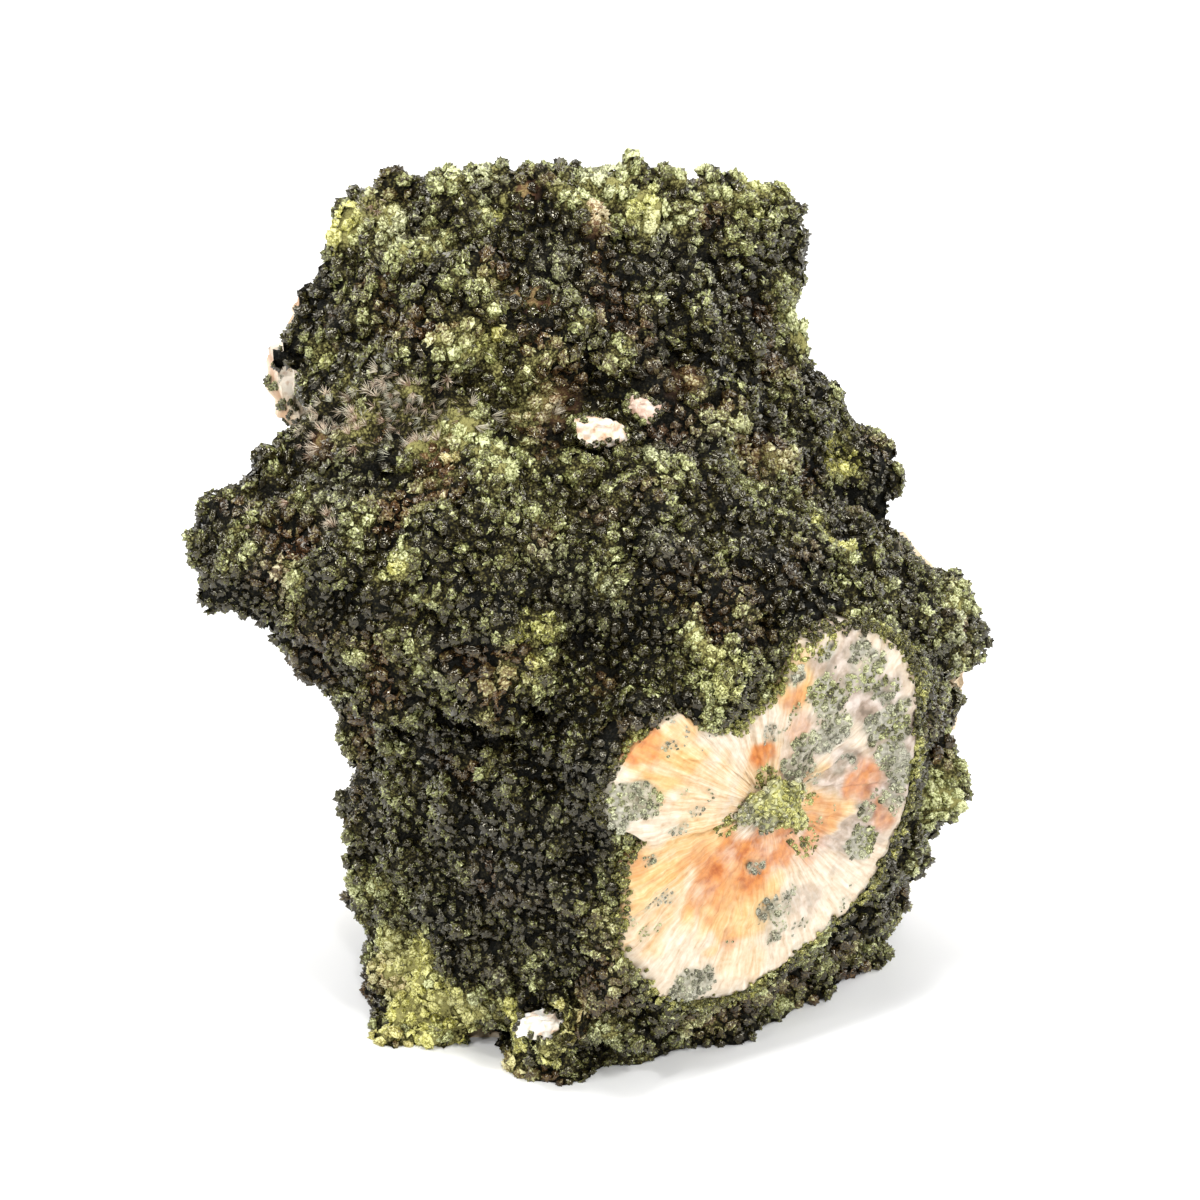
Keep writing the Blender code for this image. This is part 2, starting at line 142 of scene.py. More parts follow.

# Patches of the crust by their place in the photo, as (pixel across, pixel down, radius, strength). Some of
# the yellow and dark ones were added to make places lighter or darker, to match the photo.
# Yellow spots: yellow green patches, and partly painted light, such as on the top edges.
YELLOW_AND_LIT_SPOTS = (
    (385, 565, 2.6, 1.0), (340, 222, 3.2, 1.0), (540, 642, 3.6, 0.8), (520, 690, 3.2, 0.7),
    (612, 585, 3.0, 0.4), (725, 660, 3.6, 0.7), (700, 645, 2.6, 0.6), (470, 330, 3.4, 0.6),
    (430, 445, 3.4, 0.9), (500, 448, 3.4, 0.4), (650, 212, 3.2, 0.8), (765, 185, 4.0, 0.7),
    (490, 760, 2.4, 0.6), (600, 912, 2.6, 0.6), (405, 985, 6.5, 0.95), (440, 1015, 5.0, 1.0),
    (385, 950, 3.2, 0.8), (285, 572, 2.4, 0.6), (412, 610, 1.8, 0.65), (470, 190, 3.0, 0.2),
    (805, 325, 3.0, 0.5), (500, 1055, 4.0, 0.8), (560, 1060, 3.0, 0.9), (870, 830, 4.0, 0.3),
    (950, 700, 3.2, 0.2), (735, 700, 3.0, 0.7), (600, 175, 4.0, 0.4), (700, 180, 4.0, 0.45),
    (975, 620, 4.0, 0.1), (950, 590, 4.0, 0.4), (945, 800, 4.5, 0.6), (900, 900, 4.0, 0.3),
    (860, 950, 4.0, 0.4), (540, 350, 3.0, 0.4), (560, 180, 2.5, 0.4), (360, 190, 2.5, 0.5),
    (395, 300, 2.0, 0.7), (690, 320, 2.0, 0.4), (424, 240, 2.5, 0.6), (500, 1035, 4.0, 1.1),
    (565, 1035, 3.4, 0.8), (532, 400, 3.4, 0.55), (496, 350, 2.4, 0.85), (848, 458, 3.8, 1.0),
    (745, 205, 2.6, 0.6), (390, 205, 2.6, 0.5), (460, 528, 2.2, 0.9), (496, 384, 2.2, 0.8),
    (316, 456, 2.4, 0.5), (600, 1030, 3.0, 0.35), (455, 430, 2.4, 0.6), (400, 180, 2.4, 0.4),
    (496, 276, 1.8, 0.7), (496, 204, 2.0, 0.9), (496, 312, 2.0, 0.6),
    (316, 312, 2.0, 0.8), (838, 528, 3.2, 0.9), (712, 1032, 2.0, 0.6), (275, 365, 2.6, 0.6),
    (712, 492, 2.2, 0.5), (892, 564, 2.4, 0.5), (316, 348, 2.4, 0.7), (568, 636, 2.4, 0.6),
)
# Dark spots: black green patches, and partly painted shade under the lobes and in pits and grooves.
DARK_AND_SHADE_SPOTS = (
    (485, 850, 12.0, 1.0), (560, 780, 8.0, 1.1), (300, 610, 6.0, 0.7), (640, 640, 6.0, 0.9),
    (800, 560, 6.0, 1.0), (740, 290, 8.0, 0.5), (600, 340, 6.0, 0.4), (830, 440, 6.0, 0.3),
    (870, 900, 7.0, 0.4), (460, 655, 3.2, 2.0), (602, 742, 2.8, 2.0), (640, 705, 2.2, 2.0),
    (676, 708, 2.6, 2.6), (420, 352, 2.2, 1.4), (712, 350, 3.0, 1.8), (820, 600, 3.0, 1.8),
    (418, 530, 2.0, 1.4), (460, 600, 2.2, 1.6), (460, 708, 2.4, 1.8), (496, 600, 2.0, 1.2),
    (712, 312, 2.4, 1.9), (856, 636, 2.4, 1.2), (316, 564, 2.4, 1.4), (766, 402, 4.6, 1.6),
    (604, 780, 3.0, 1.4), (604, 816, 2.4, 1.2), (424, 636, 2.2, 1.2), (388, 528, 2.0, 1.0),
)
NEEDLE_SPOTS = (
    (330, 400, 3.4, 0.9), (390, 395, 3.6, 0.9), (450, 408, 3.4, 0.8), (510, 412, 2.4, 0.5),
    (290, 490, 2.2, 0.8), (320, 520, 2.0, 0.9), (365, 205, 1.8, 0.7), (300, 430, 2.4, 0.9),
    (240, 520, 2.0, 0.4), (300, 375, 2.2, 0.5), (560, 405, 1.8, 0.4), (355, 428, 3.0, 1.0),
    (410, 425, 3.2, 1.0),
)
RUST_SPOTS = (
    (513, 281, 0.9, 1.0), (525, 285, 1.0, 1.0), (537, 290, 1.1, 1.0), (549, 295, 0.9, 1.0),
    (522, 187, 1.3, 1.0), (379, 280, 1.0, 1.0), (315, 440, 1.5, 0.8), (560, 400, 1.8, 0.7),
    (590, 420, 2.4, 0.5), (780, 450, 2.6, 0.3), (690, 380, 2.0, 0.4), (600, 215, 1.5, 0.6),
)

# Clefts of the solid that are shallower in the photo: the middle and half widths of what fills each
FILLINGS = (
    ((-1.4, -21.5, 42.8), (3.2, 4.8, 5.0)), ((-2.8, -22.8, 37.2), (3.4, 5.0, 5.0)),
    ((-5.0, -24.0, 33.2), (3.4, 5.0, 4.4)),
)

# Where the photo shows bare rock at the cluster's edges
ROCK_SPOTS = ((288, 345, 4.5, 1.0), (286, 380, 4.5, 1.0), (290, 415, 4.5, 1.0), (972, 665, 4.0, 1.0))

# The rock: its grain, how far and in what size it is bent, its blocks, its flat broken faces as
# (size, seed, height), how far in and out these may reach, and the crystals grown on it
ROCK_VOXEL = 0.7
ROCK_BEND = 3.0
ROCK_BEND_SIZE = 5
ROCK_BLOCKS = 11
ROCK_GRAIN_SIZE = 2.4
ROCK_GRAIN = 0.7
ROCK_FACETS = ((9, 57, 3.4), (3.6, 47, 1.5))
ROCK_REACH = (-1.8, 1.1)
ROCK_SHOWN_GRAIN = 1.7
BARE_BEHIND = (8, 16)
ROCK_TRIES = 45000
ROCK_BALLS = (0.35, 0.90)

# The fan of fibres: its middle, how far it is turned right and tipped forwards in degrees, as in its solid,
# its ledge as degrees from and to, and its rise, and the balls on it and along its rim
FAN_CENTRE = (15.7, -25, 28)
FAN_YAW = 32.0
FAN_TIP = 5.0
FAN_DEPTH = 4.6
FAN_RAYS = 420
FAN_RINGS = 56
FAN_LEDGE = (110, 184, 0.7)
FAN_TRIES = 90000
RIM_TRIES = 5000
RIM_RADIUS = (0.25, 0.60)
RIM_OUT = (0.4, 0.35)
RIM_HEIGHTS = (-1.6, 0.25)

# How many bundles and fibres of two finenesses go round the fan for each radian
FAN_BUNDLES = 7
FAN_LENGTHS = 10
FAN_FINE = 42
FAN_FINEST = 95

# Patches of the fan, told as those of the crust are
RUST_ON_FAN = (
    (762, 757, 1.7, 1.0), (820, 816, 2.2, 0.7), (640, 746, 2.2, 1.0), (784, 852, 2.4, 0.9),
    (742, 862, 4.2, 1.0), (718, 885, 3.4, 0.9), (768, 850, 3.2, 0.9), (862, 782, 2.6, 0.8),
    (700, 856, 2.4, 0.7), (790, 700, 1.8, 0.6), (648, 746, 2.0, 0.7), (812, 842, 2.0, 0.7),
    (730, 938, 1.4, 0.5), (880, 810, 2.2, 0.6), (638, 865, 1.6, 0.5), (800, 730, 1.8, 0.4),
    (800, 770, 2.4, 0.5),
)
GREY_ON_FAN = (
    (632, 803, 3.3, 1.0), (616, 815, 2.0, 0.9), (825, 701, 2.5, 1.0), (834, 734, 2.0, 0.95),
    (862, 843, 1.9, 1.0), (695, 982, 2.5, 1.0), (781, 910, 2.6, 0.6), (890, 722, 3.0, 0.85),
    (900, 770, 2.2, 0.8), (862, 655, 2.4, 0.7), (800, 765, 2.1, 0.9), (757, 868, 1.3, 0.7),
    (645, 860, 1.1, 0.5), (796, 675, 1.5, 0.8), (863, 807, 1.7, 0.8), (828, 651, 1.2, 0.8),
    (768, 935, 1.6, 0.4), (885, 690, 2.2, 0.7), (845, 765, 1.5, 0.6), (895, 805, 1.8, 0.6),
    (805, 745, 1.6, 0.7), (870, 670, 2.4, 0.7), (892, 756, 2.2, 0.8), (840, 690, 1.8, 0.6),
    (815, 770, 1.6, 0.6), (770, 910, 1.6, 0.5),
)
GOLD_ON_FAN = (
    (660, 762, 5.4, 1.0), (656, 885, 6.0, 1.0), (640, 760, 2.4, 1.0), (790, 685, 3.4, 1.0),
    (735, 905, 5.0, 0.9), (700, 850, 4.6, 0.9), (820, 800, 4.0, 0.8), (650, 930, 3.0, 0.7),
    (700, 790, 4.0, 0.6), (760, 780, 4.0, 0.6), (740, 960, 3.0, 0.4),
)
PINK_ON_FAN = (
    (875, 700, 5.0, 1.0), (885, 780, 4.6, 1.0), (850, 835, 3.4, 0.8), (840, 660, 3.4, 0.8),
    (805, 740, 3.0, 0.6), (905, 740, 4.0, 1.0), (845, 770, 3.4, 0.9), (875, 820, 3.2, 0.9),
    (800, 900, 2.6, 0.5),
)
GREEN_ON_FAN = (
    (726, 824, 1.3, 1.0), (740, 822, 1.5, 1.0), (753, 818, 1.5, 1.0), (800, 838, 1.7, 0.9),
    (814, 848, 1.3, 0.7), (768, 778, 1.4, 0.9), (812, 800, 1.2, 0.8), (818, 636, 2.4, 1.0),
    (806, 652, 1.6, 0.9),
)

# The tuft: its grain, how deep its skin lies, and its balls
TUFT_VOXEL = 0.35
TUFT_SINK = 0.35
TUFT_TRIES = 4500
TUFT_BALLS = (0.26, 0.52)

# The chips: how far each is stretched across, up and out, how deep it is sunk, and its colours from dark to
# light. Then their grain, the flat faces broken on each and how much stays under one, and their balls.
CHIPS = {
    "saddle_chip": ((1.90, 0.85, 0.60), 0.6, ((0.62, 0.36, 0.20), (0.85, 0.68, 0.52), (0.94, 0.88, 0.80))),
    "pink_chip": ((1.05, 0.85, 0.65), 0.4, ((0.44, 0.26, 0.18), (0.66, 0.48, 0.38), (0.82, 0.70, 0.60))),
    "foot_chip": ((1.30, 0.95, 0.70), 0.4, ((0.70, 0.52, 0.36), (0.92, 0.86, 0.76), (0.97, 0.96, 0.93))),
}
CHIP_VOXEL = 0.14
CHIP_CUTS = 9
CHIP_KEPT = (0.55, 0.85)
CHIP_BALLS = (0.35, 0.62)

# The studio's floor: half its side
FLOOR_HALF = 3000

# The studio's lights: place, size, power and what each shines at. The front ones are small, so that they
# glint in the crystals, and the ones behind whiten the floor where the cluster would shade it.
WORLD_LIGHT = 0.28
LIGHTS = {
    "backdrop": ((0, 450, 520), 500, 2.4, (0, 330, 0)),
    "key_left": ((-300, -330, 480), 80, 1.2, CAMERA_TARGET),
    "key_right": ((280, -350, 430), 80, 1.0, CAMERA_TARGET),
    "high": ((-40, -140, 660), 110, 1.35, CAMERA_TARGET),
    "floor_left": ((-520, 260, 330), 360, 2.2, (-170, 0, 0)),
    "floor_right": ((520, 260, 330), 360, 2.2, (170, 0, 0)),
    "front": ((60, -520, 400), 50, 0.9, CAMERA_TARGET),
    "low_left": ((-430, -430, 220), 50, 0.9, CAMERA_TARGET),
    "low_right": ((430, -400, 250), 50, 0.9, CAMERA_TARGET),
}


# Random numbers that are the same each run, and noise in space

HASH_PRIMES = np.array((73856093, 19349663, 83492791), np.int64)
HASH_SEED = 2654435761
HASH_MIX = 1274126177
HASH_MASK = 0xFFFFFFFF

# Farther than any cell's middle is, in cells
FAR = 9.0


def hashed(cells, seed):
    """A random number from 0 to 1 for each cell of space."""
    mixed = (cells.astype(np.int64) * HASH_PRIMES).sum(-1) ^ (seed * HASH_SEED)
    mixed = mixed & HASH_MASK
    mixed = ((mixed ^ (mixed >> 13)) * HASH_MIX) & HASH_MASK
    mixed = ((mixed ^ (mixed >> 16)) * HASH_MIX) & HASH_MASK
    return ((mixed ^ (mixed >> 15)) & HASH_MASK) / HASH_MASK


def noise(points, size, seed):
    """Smooth noise from 0 to 1 whose lumps are this size."""
    spots = points / size
    cells = np.floor(spots)
    shares = spots - cells
    shares = shares * shares * (3 - 2 * shares)
    total = 0
    for corner in np.ndindex(2, 2, 2):
        weights = np.where(corner, shares, 1 - shares).prod(-1)
        total = total + weights * hashed(cells + corner, seed)
    return total


def layered(points, size, seed, layers=3):
    """Noise with finer noise added, from 0 to 1."""
    total = 0
    weight = 0
    for layer in range(layers):
        share = 0.5 ** layer
        total = total + noise(points, size * share, seed + layer) * share
        weight += share
    return total / weight


def wobble(points, size, seed):
    """A smooth random shift of each point, from 0 to 1 each way."""
    return np.stack([noise(points, size, seed + axis) for axis in range(3)], -1)


def near_cells(points, size, seed):
    """The cells of space about each point: each one's corner, and the point's offset from its middle."""
    spots = points / size
    own = np.floor(spots)
    for step in np.ndindex(3, 3, 3):
        cell = own + np.array(step) - 1
        yield cell, spots - (cell + np.stack([hashed(cell, seed + axis) for axis in range(3)], -1))


def crackle(points, size, seed):
    """How far each point is from the nearest crack between lumps, and from its lump's middle.

    Both are shares of the lumps' size.
    """
    nearest = np.full(len(points), FAR)
    second = np.full(len(points), FAR)
    for _, offset in near_cells(points, size, seed):
        reach = np.linalg.norm(offset, axis=-1)
        second = np.minimum(second, np.maximum(nearest, reach))
        nearest = np.minimum(nearest, reach)
    return second - nearest, nearest


def facets(points, size, seed):
    """Heights of flat broken faces about this wide, each tilted its own way, in shares of their size."""
    nearest = np.full(len(points), FAR)
    heights = np.zeros(len(points))
    for cell, offset in near_cells(points, size, seed):
        tilt = unit(np.stack([hashed(cell, seed + axis) - 0.5 for axis in range(3, 6)], -1))
        reach = np.linalg.norm(offset, axis=-1)
        closer = reach < nearest
        heights = np.where(closer, (offset * tilt).sum(-1), heights)
        nearest = np.where(closer, reach, nearest)
    return heights


def ramp(values, low, high):
    """0 below low, 1 above high and smooth between."""
    share = np.clip((values - low) / (high - low), 0, 1)
    return share * share * (3 - 2 * share)


def unit(vectors):
    return vectors / np.maximum(np.linalg.norm(vectors, axis=-1, keepdims=True), 1e-12)


# Meshes to and from arrays

def points_of(mesh):
    points = np.empty(len(mesh.vertices) * 3)
    mesh.vertices.foreach_get("co", points)
    return points.reshape(-1, 3) / MM


def normals_of(mesh):
    normals = np.empty(len(mesh.vertices) * 3)
    mesh.vertices.foreach_get("normal", normals)
    return normals.reshape(-1, 3)


def triangles_of(mesh):
    mesh.calc_loop_triangles()
    triangles = np.empty(len(mesh.loop_triangles) * 3, np.int32)
    mesh.loop_triangles.foreach_get("vertices", triangles)
    return triangles.reshape(-1, 3)


def move_points(mesh, points):
    mesh.vertices.foreach_set("co", (points * MM).ravel())
    mesh.update()


def add_object(name, data):
    added = bpy.data.objects.new(name, data)
    bpy.context.scene.collection.objects.link(added)
    return added


def add_piece(name, points, triangles):
    """A new object with these points, in millimetres, and triangles."""
    mesh = bpy.data.meshes.new(name)
    mesh.vertices.add(len(points))
    mesh.vertices.foreach_set("co", (points * MM).ravel())
    mesh.loops.add(triangles.size)
    mesh.loops.foreach_set("vertex_index", triangles.astype(np.int32).ravel())
    mesh.polygons.add(len(triangles))
    mesh.polygons.foreach_set("loop_start", np.arange(0, triangles.size, 3, dtype=np.int32))
    mesh.update(calc_edges=True)
    return add_object(name, mesh)


def tell(piece, name, values):
    """Keep a number or three for each point, which the piece's material reads."""
    if values.ndim == 1:
        layer = piece.data.attributes.new(name, "FLOAT", "POINT")
        layer.data.foreach_set("value", values.astype(np.float32))
    else:
        layer = piece.data.attributes.new(name, "FLOAT_VECTOR", "POINT")
        layer.data.foreach_set("vector", values.astype(np.float32).ravel())


def dress(piece, material, slot, nodes):
    """Give the piece its material, hang it from the root body and hide the solids it stands for."""
    piece.data.materials.clear()
    piece.data.materials.append(material)
    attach(piece, "root")
    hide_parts(*nodes)


def remeshed(name, node, voxel, softening, fillings=()):
    """A copy of a solid's skin with an even grain, grown together with its fillings."""
    bm = bmesh.new()
    bm.from_mesh(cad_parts[node].data)
    for middle, halves in fillings:
        matrix = Matrix.Translation(Vector(middle) * MM) @ Matrix.Diagonal((*(Vector(halves) * MM), 1))
        bmesh.ops.create_icosphere(bm, subdivisions=3, radius=1, matrix=matrix)
    solid = bpy.data.meshes.new(name)
    bm.to_mesh(solid)
    bm.free()
    piece = add_object(name, solid)
    remesh = piece.modifiers.new("grain", "REMESH")
    remesh.mode = "VOXEL"
    remesh.voxel_size = voxel * MM
    smooth = piece.modifiers.new("soften", "SMOOTH")
    smooth.factor = 0.5
    smooth.iterations = softening
    depsgraph = bpy.context.evaluated_depsgraph_get()
    mesh = bpy.data.meshes.new_from_object(piece.evaluated_get(depsgraph))
    piece.modifiers.clear()
    piece.data = mesh
    mesh.name = name
    mesh.attributes.active_color = None
    return piece


def solid_tree(*nodes):
    """The solids of these nodes as one thing that rays can hit, in millimetres."""
    points = []
    triangles = []
    for node in nodes:
        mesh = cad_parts[node].data
        triangles.append(triangles_of(mesh) + sum(len(part) for part in points))
        points.append(points_of(mesh))
    return BVHTree.FromPolygons(np.concatenate(points).tolist(), np.concatenate(triangles).tolist())


# The photo's camera

FORWARD = Vector((0, math.cos(CAMERA_DOWN), -math.sin(CAMERA_DOWN)))
UPWARD = Vector((0, math.sin(CAMERA_DOWN), math.cos(CAMERA_DOWN)))
CAMERA_PLACE = Vector(CAMERA_TARGET) - FORWARD * CAMERA_DISTANCE
EVERYTHING = solid_tree(*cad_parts)


def photo_point(across, down, tree=EVERYTHING):
    """Where the photo's pixel lies on the solids, in millimetres, or None beside them."""
    right = Vector(((across - PHOTO_MIDDLE) / PIXELS_PER_MM, 0, 0))
    up = UPWARD * ((PHOTO_MIDDLE - down) / PIXELS_PER_MM)
    hit = tree.ray_cast(CAMERA_PLACE, (FORWARD * CAMERA_DISTANCE + right + up).normalized())[0]
    return hit


def spotted(points, spots):
    """How strongly the spots of the photo mark each point, from 0 to 1."""
    total = np.zeros(len(points))
    for across, down, radius, strength in spots:
        place = photo_point(across, down)
        if place is None:
            continue
        reach = np.linalg.norm(points - np.array(place), axis=-1) / radius
        ragged = reach + 0.9 * (noise(points, 1.7, across) - 0.5)
        total = np.maximum(total, strength * (1 - ramp(ragged, 0.55, 1.15)))
    return total


def make_camera():
    data = bpy.data.cameras.new("camera")
    data.sensor_width = SENSOR
    data.lens = SENSOR * CAMERA_DISTANCE * PIXELS_PER_MM / (2 * PHOTO_MIDDLE)
    data.clip_start = 10 * MM
    camera = add_object("camera", data)
    camera.location = CAMERA_PLACE * MM
    camera.rotation_euler = FORWARD.to_track_quat("-Z", "Y").to_euler()
    bpy.context.scene.camera = camera


# Materials

class Nodes:
    """A material's node tree, with short ways to add to it."""

    def __init__(self, name):
        self.material = bpy.data.materials.new(name)
        self.material.use_nodes = True
        self.tree = self.material.node_tree
        self.shader = self.tree.nodes["Principled BSDF"]

    def add(self, kind, **settings):
        node = self.tree.nodes.new("ShaderNode" + kind)
        for name, value in settings.items():
            setattr(node, name, value)
        return node

    def link(self, source, target):
        self.tree.links.new(source, target)

    def value(self, name):
        """The number that a piece tells for each point."""
        return self.add("Attribute", attribute_name=name).outputs["Fac"]

    def vector(self, name):
        return self.add("Attribute", attribute_name=name).outputs["Vector"]

    def place(self):
        return self.add("TexCoord").outputs["Object"]

    def lay(self, node, size, vector):
        """Give the texture this size in space, or over the vector where there is one."""
        node.inputs["Scale"].default_value = 1 / (size * MM) if vector is None else 1 / size
        self.link(self.place() if vector is None else vector, node.inputs["Vector"])

    def noise(self, size, detail=3.0, vector=None, roughness=0.55):
        node = self.add("TexNoise")
        node.inputs["Detail"].default_value = detail
        node.inputs["Roughness"].default_value = roughness
        self.lay(node, size, vector)
        return node.outputs["Fac"]

    def needles(self):
        """The ends of each ball's fine needles: how far from one's middle, and a random number for each."""
        direction = self.add("VectorMath", operation="NORMALIZE")
        self.link(self.vector("ray"), direction.inputs[0])
        spread = self.add("VectorMath", operation="MULTIPLY_ADD")
        self.link(direction.outputs["Vector"], spread.inputs[0])
        spread.inputs[1].default_value = (NEEDLES, NEEDLES, NEEDLES)
        self.link(self.value("number"), spread.inputs[2])
        return self.cells(1, spread.outputs["Vector"])

    def cells(self, size, vector=None):
        """Cells of this size: how far from their middles, and a random number for each."""
        node = self.add("TexVoronoi", feature="F1")
        self.lay(node, size, vector)
        return node.outputs["Distance"], node.outputs["Color"]

    def math(self, operation, first, second, third=None):
        node = self.add("Math", operation=operation)
        for socket, given in zip(node.inputs, (first, second, third)):
            if isinstance(given, (int, float)):
                socket.default_value = given
            elif given is not None:
                self.link(given, socket)
        return node.outputs[0]

    def toned(self, source, middle, share, tone=None):
        """The tone, or the points' own, with a share of how far the source is over its middle."""
        over = self.math("SUBTRACT", source, middle)
        return self.math("MULTIPLY_ADD", over, share, self.value("tone") if tone is None else tone)

    def span(self, source, low, high, start=0.0, end=1.0):
        """The source from low to high, spread over start to end and kept within them."""
        node = self.add("MapRange")
        self.link(source, node.inputs["Value"])
        for name, number in (("From Min", low), ("From Max", high), ("To Min", start), ("To Max", end)):
            node.inputs[name].default_value = number
        return node.outputs["Result"]

    def colours(self, source, stops):
        node = self.add("ValToRGB")
        band = node.color_ramp
        while len(band.elements) < len(stops):
            band.elements.new(1.0)
        for element, (place, colour) in zip(band.elements, stops):
            element.position = place
            element.color = (*colour, 1)
        self.link(source, node.inputs["Fac"])
        return node.outputs["Color"]

    def mix(self, share, first, second, blend="MIX"):
        node = self.add("Mix", data_type="RGBA", blend_type=blend)
        inputs = {socket.identifier: socket for socket in node.inputs}
        for name, given in (("Factor_Float", share), ("A_Color", first), ("B_Color", second)):
            if isinstance(given, (int, float)):
                inputs[name].default_value = given
            elif isinstance(given, tuple):
                inputs[name].default_value = (*given, 1)
            else:
                self.link(given, inputs[name])
        return {socket.identifier: socket for socket in node.outputs}["Result_Color"]

    def bump(self, height, strength, distance):
        node = self.add("Bump")
        node.inputs["Strength"].default_value = strength
        node.inputs["Distance"].default_value = distance * MM
        self.link(height, node.inputs["Height"])
        self.link(node.outputs["Normal"], self.shader.inputs["Normal"])

    def finish(self, colour, roughness):
        self.link(colour, self.shader.inputs["Base Color"])
        self.link(roughness, self.shader.inputs["Roughness"])
        return self.material


def crystal_material():
    """Glassy epidote: bottle green to black, and moss to yellow green where it is thin."""
    nodes = Nodes("epidote_crystals")
    apart, luck = nodes.needles()
    tone = nodes.toned(apart, 0.45, -0.30, nodes.toned(luck, 0.5, 0.62))
    green = nodes.colours(tone, (
        (0.00, (0.0058, 0.0042, 0.0014)), (0.25, (0.019, 0.0145, 0.0045)), (0.45, (0.068, 0.063, 0.019)),
        (0.62, (0.176, 0.184, 0.058)), (0.80, (0.380, 0.405, 0.160)), (1.00, (0.730, 0.755, 0.420)),
    ))
    grey = nodes.colours(tone, (
        (0.0, (0.012, 0.010, 0.008)), (0.5, (0.150, 0.150, 0.110)), (1.0, (0.640, 0.620, 0.520)),
    ))
    rust = nodes.colours(tone, (
        (0.0, (0.024, 0.009, 0.004)), (0.5, (0.300, 0.120, 0.060)), (1.0, (0.820, 0.580, 0.440)),
    ))
    yellow = nodes.colours(tone, (
        (0.00, (0.0090, 0.0070, 0.0012)), (0.25, (0.030, 0.026, 0.0045)), (0.45, (0.105, 0.098, 0.015)),
        (0.62, (0.250, 0.235, 0.038)), (0.80, (0.480, 0.455, 0.095)), (1.00, (0.800, 0.770, 0.300)),
    ))
    green = nodes.mix(nodes.value("yellow"), green, yellow)
    colour = nodes.mix(nodes.value("grey"), green, grey)
    colour = nodes.mix(nodes.value("rust"), colour, rust)
    dull = nodes.span(tone, 0.35, 0.8, 0.0, 0.22)
    roughness = nodes.math("ADD", dull, nodes.span(luck, 0.3, 0.7, 0.05, 0.17))
    nodes.shader.inputs["IOR"].default_value = 1.6
    nodes.shader.inputs["Specular IOR Level"].default_value = 0.48
    nodes.shader.inputs["Specular Tint"].default_value = (1.0, 0.94, 0.76, 1.0)
    depth = nodes.span(tone, 0.25, 0.60, -0.35, -1.0)
    nodes.bump(nodes.math("MULTIPLY", apart, depth), 0.55, 0.06)
    return nodes.finish(colour, roughness)


def skin_material():
    """The crust between its balls: dark felt of the smallest crystals and painted shade, greener where they
    are.
    """
    nodes = Nodes("epidote_skin")
    apart, luck = nodes.cells(0.24)
    tone = nodes.toned(apart, 0.45, -0.50, nodes.toned(luck, 0.5, 0.70))
    colour = nodes.colours(tone, (
        (0.00, (0.003, 0.003, 0.002)), (0.35, (0.012, 0.010, 0.004)), (0.60, (0.060, 0.052, 0.016)),
        (1.00, (0.300, 0.280, 0.100)),
    ))
    colour = nodes.mix(nodes.value("rust"), colour, (0.260, 0.120, 0.070))
    nodes.shader.inputs["Specular IOR Level"].default_value = 0.1
    nodes.bump(nodes.math("MULTIPLY", apart, -1.0), 1.0, 0.12)
    return nodes.finish(colour, nodes.span(luck, 0.3, 0.7, 0.9, 0.5))


def rock_material():
    """Pale broken rock, with rusty seams and dark specks."""
    nodes = Nodes("broken_rock")
    broad = nodes.noise(7.0, 5.0)
    fine = nodes.noise(0.7, 4.0)
    colour = nodes.colours(broad, (
        (0.28, (0.44, 0.29, 0.16)), (0.42, (0.64, 0.50, 0.33)), (0.55, (0.78, 0.68, 0.53)),
        (0.72, (0.85, 0.78, 0.68)),
    ))
    colour = nodes.mix(nodes.span(fine, 0.50, 0.70, 0.0, 0.7), colour, (0.52, 0.32, 0.18))
    specks = nodes.span(nodes.noise(1.1, 3.0), 0.66, 0.72)
    colour = nodes.mix(specks, colour, (0.07, 0.08, 0.04))
    colour = nodes.mix(nodes.span(nodes.value("seam"), 0.0, 1.0, 0.0, 0.75), colour, (0.42, 0.20, 0.09))
    nodes.bump(fine, 0.6, 0.3)
    return nodes.finish(colour, nodes.span(fine, 0.3, 0.7, 0.85, 0.5))


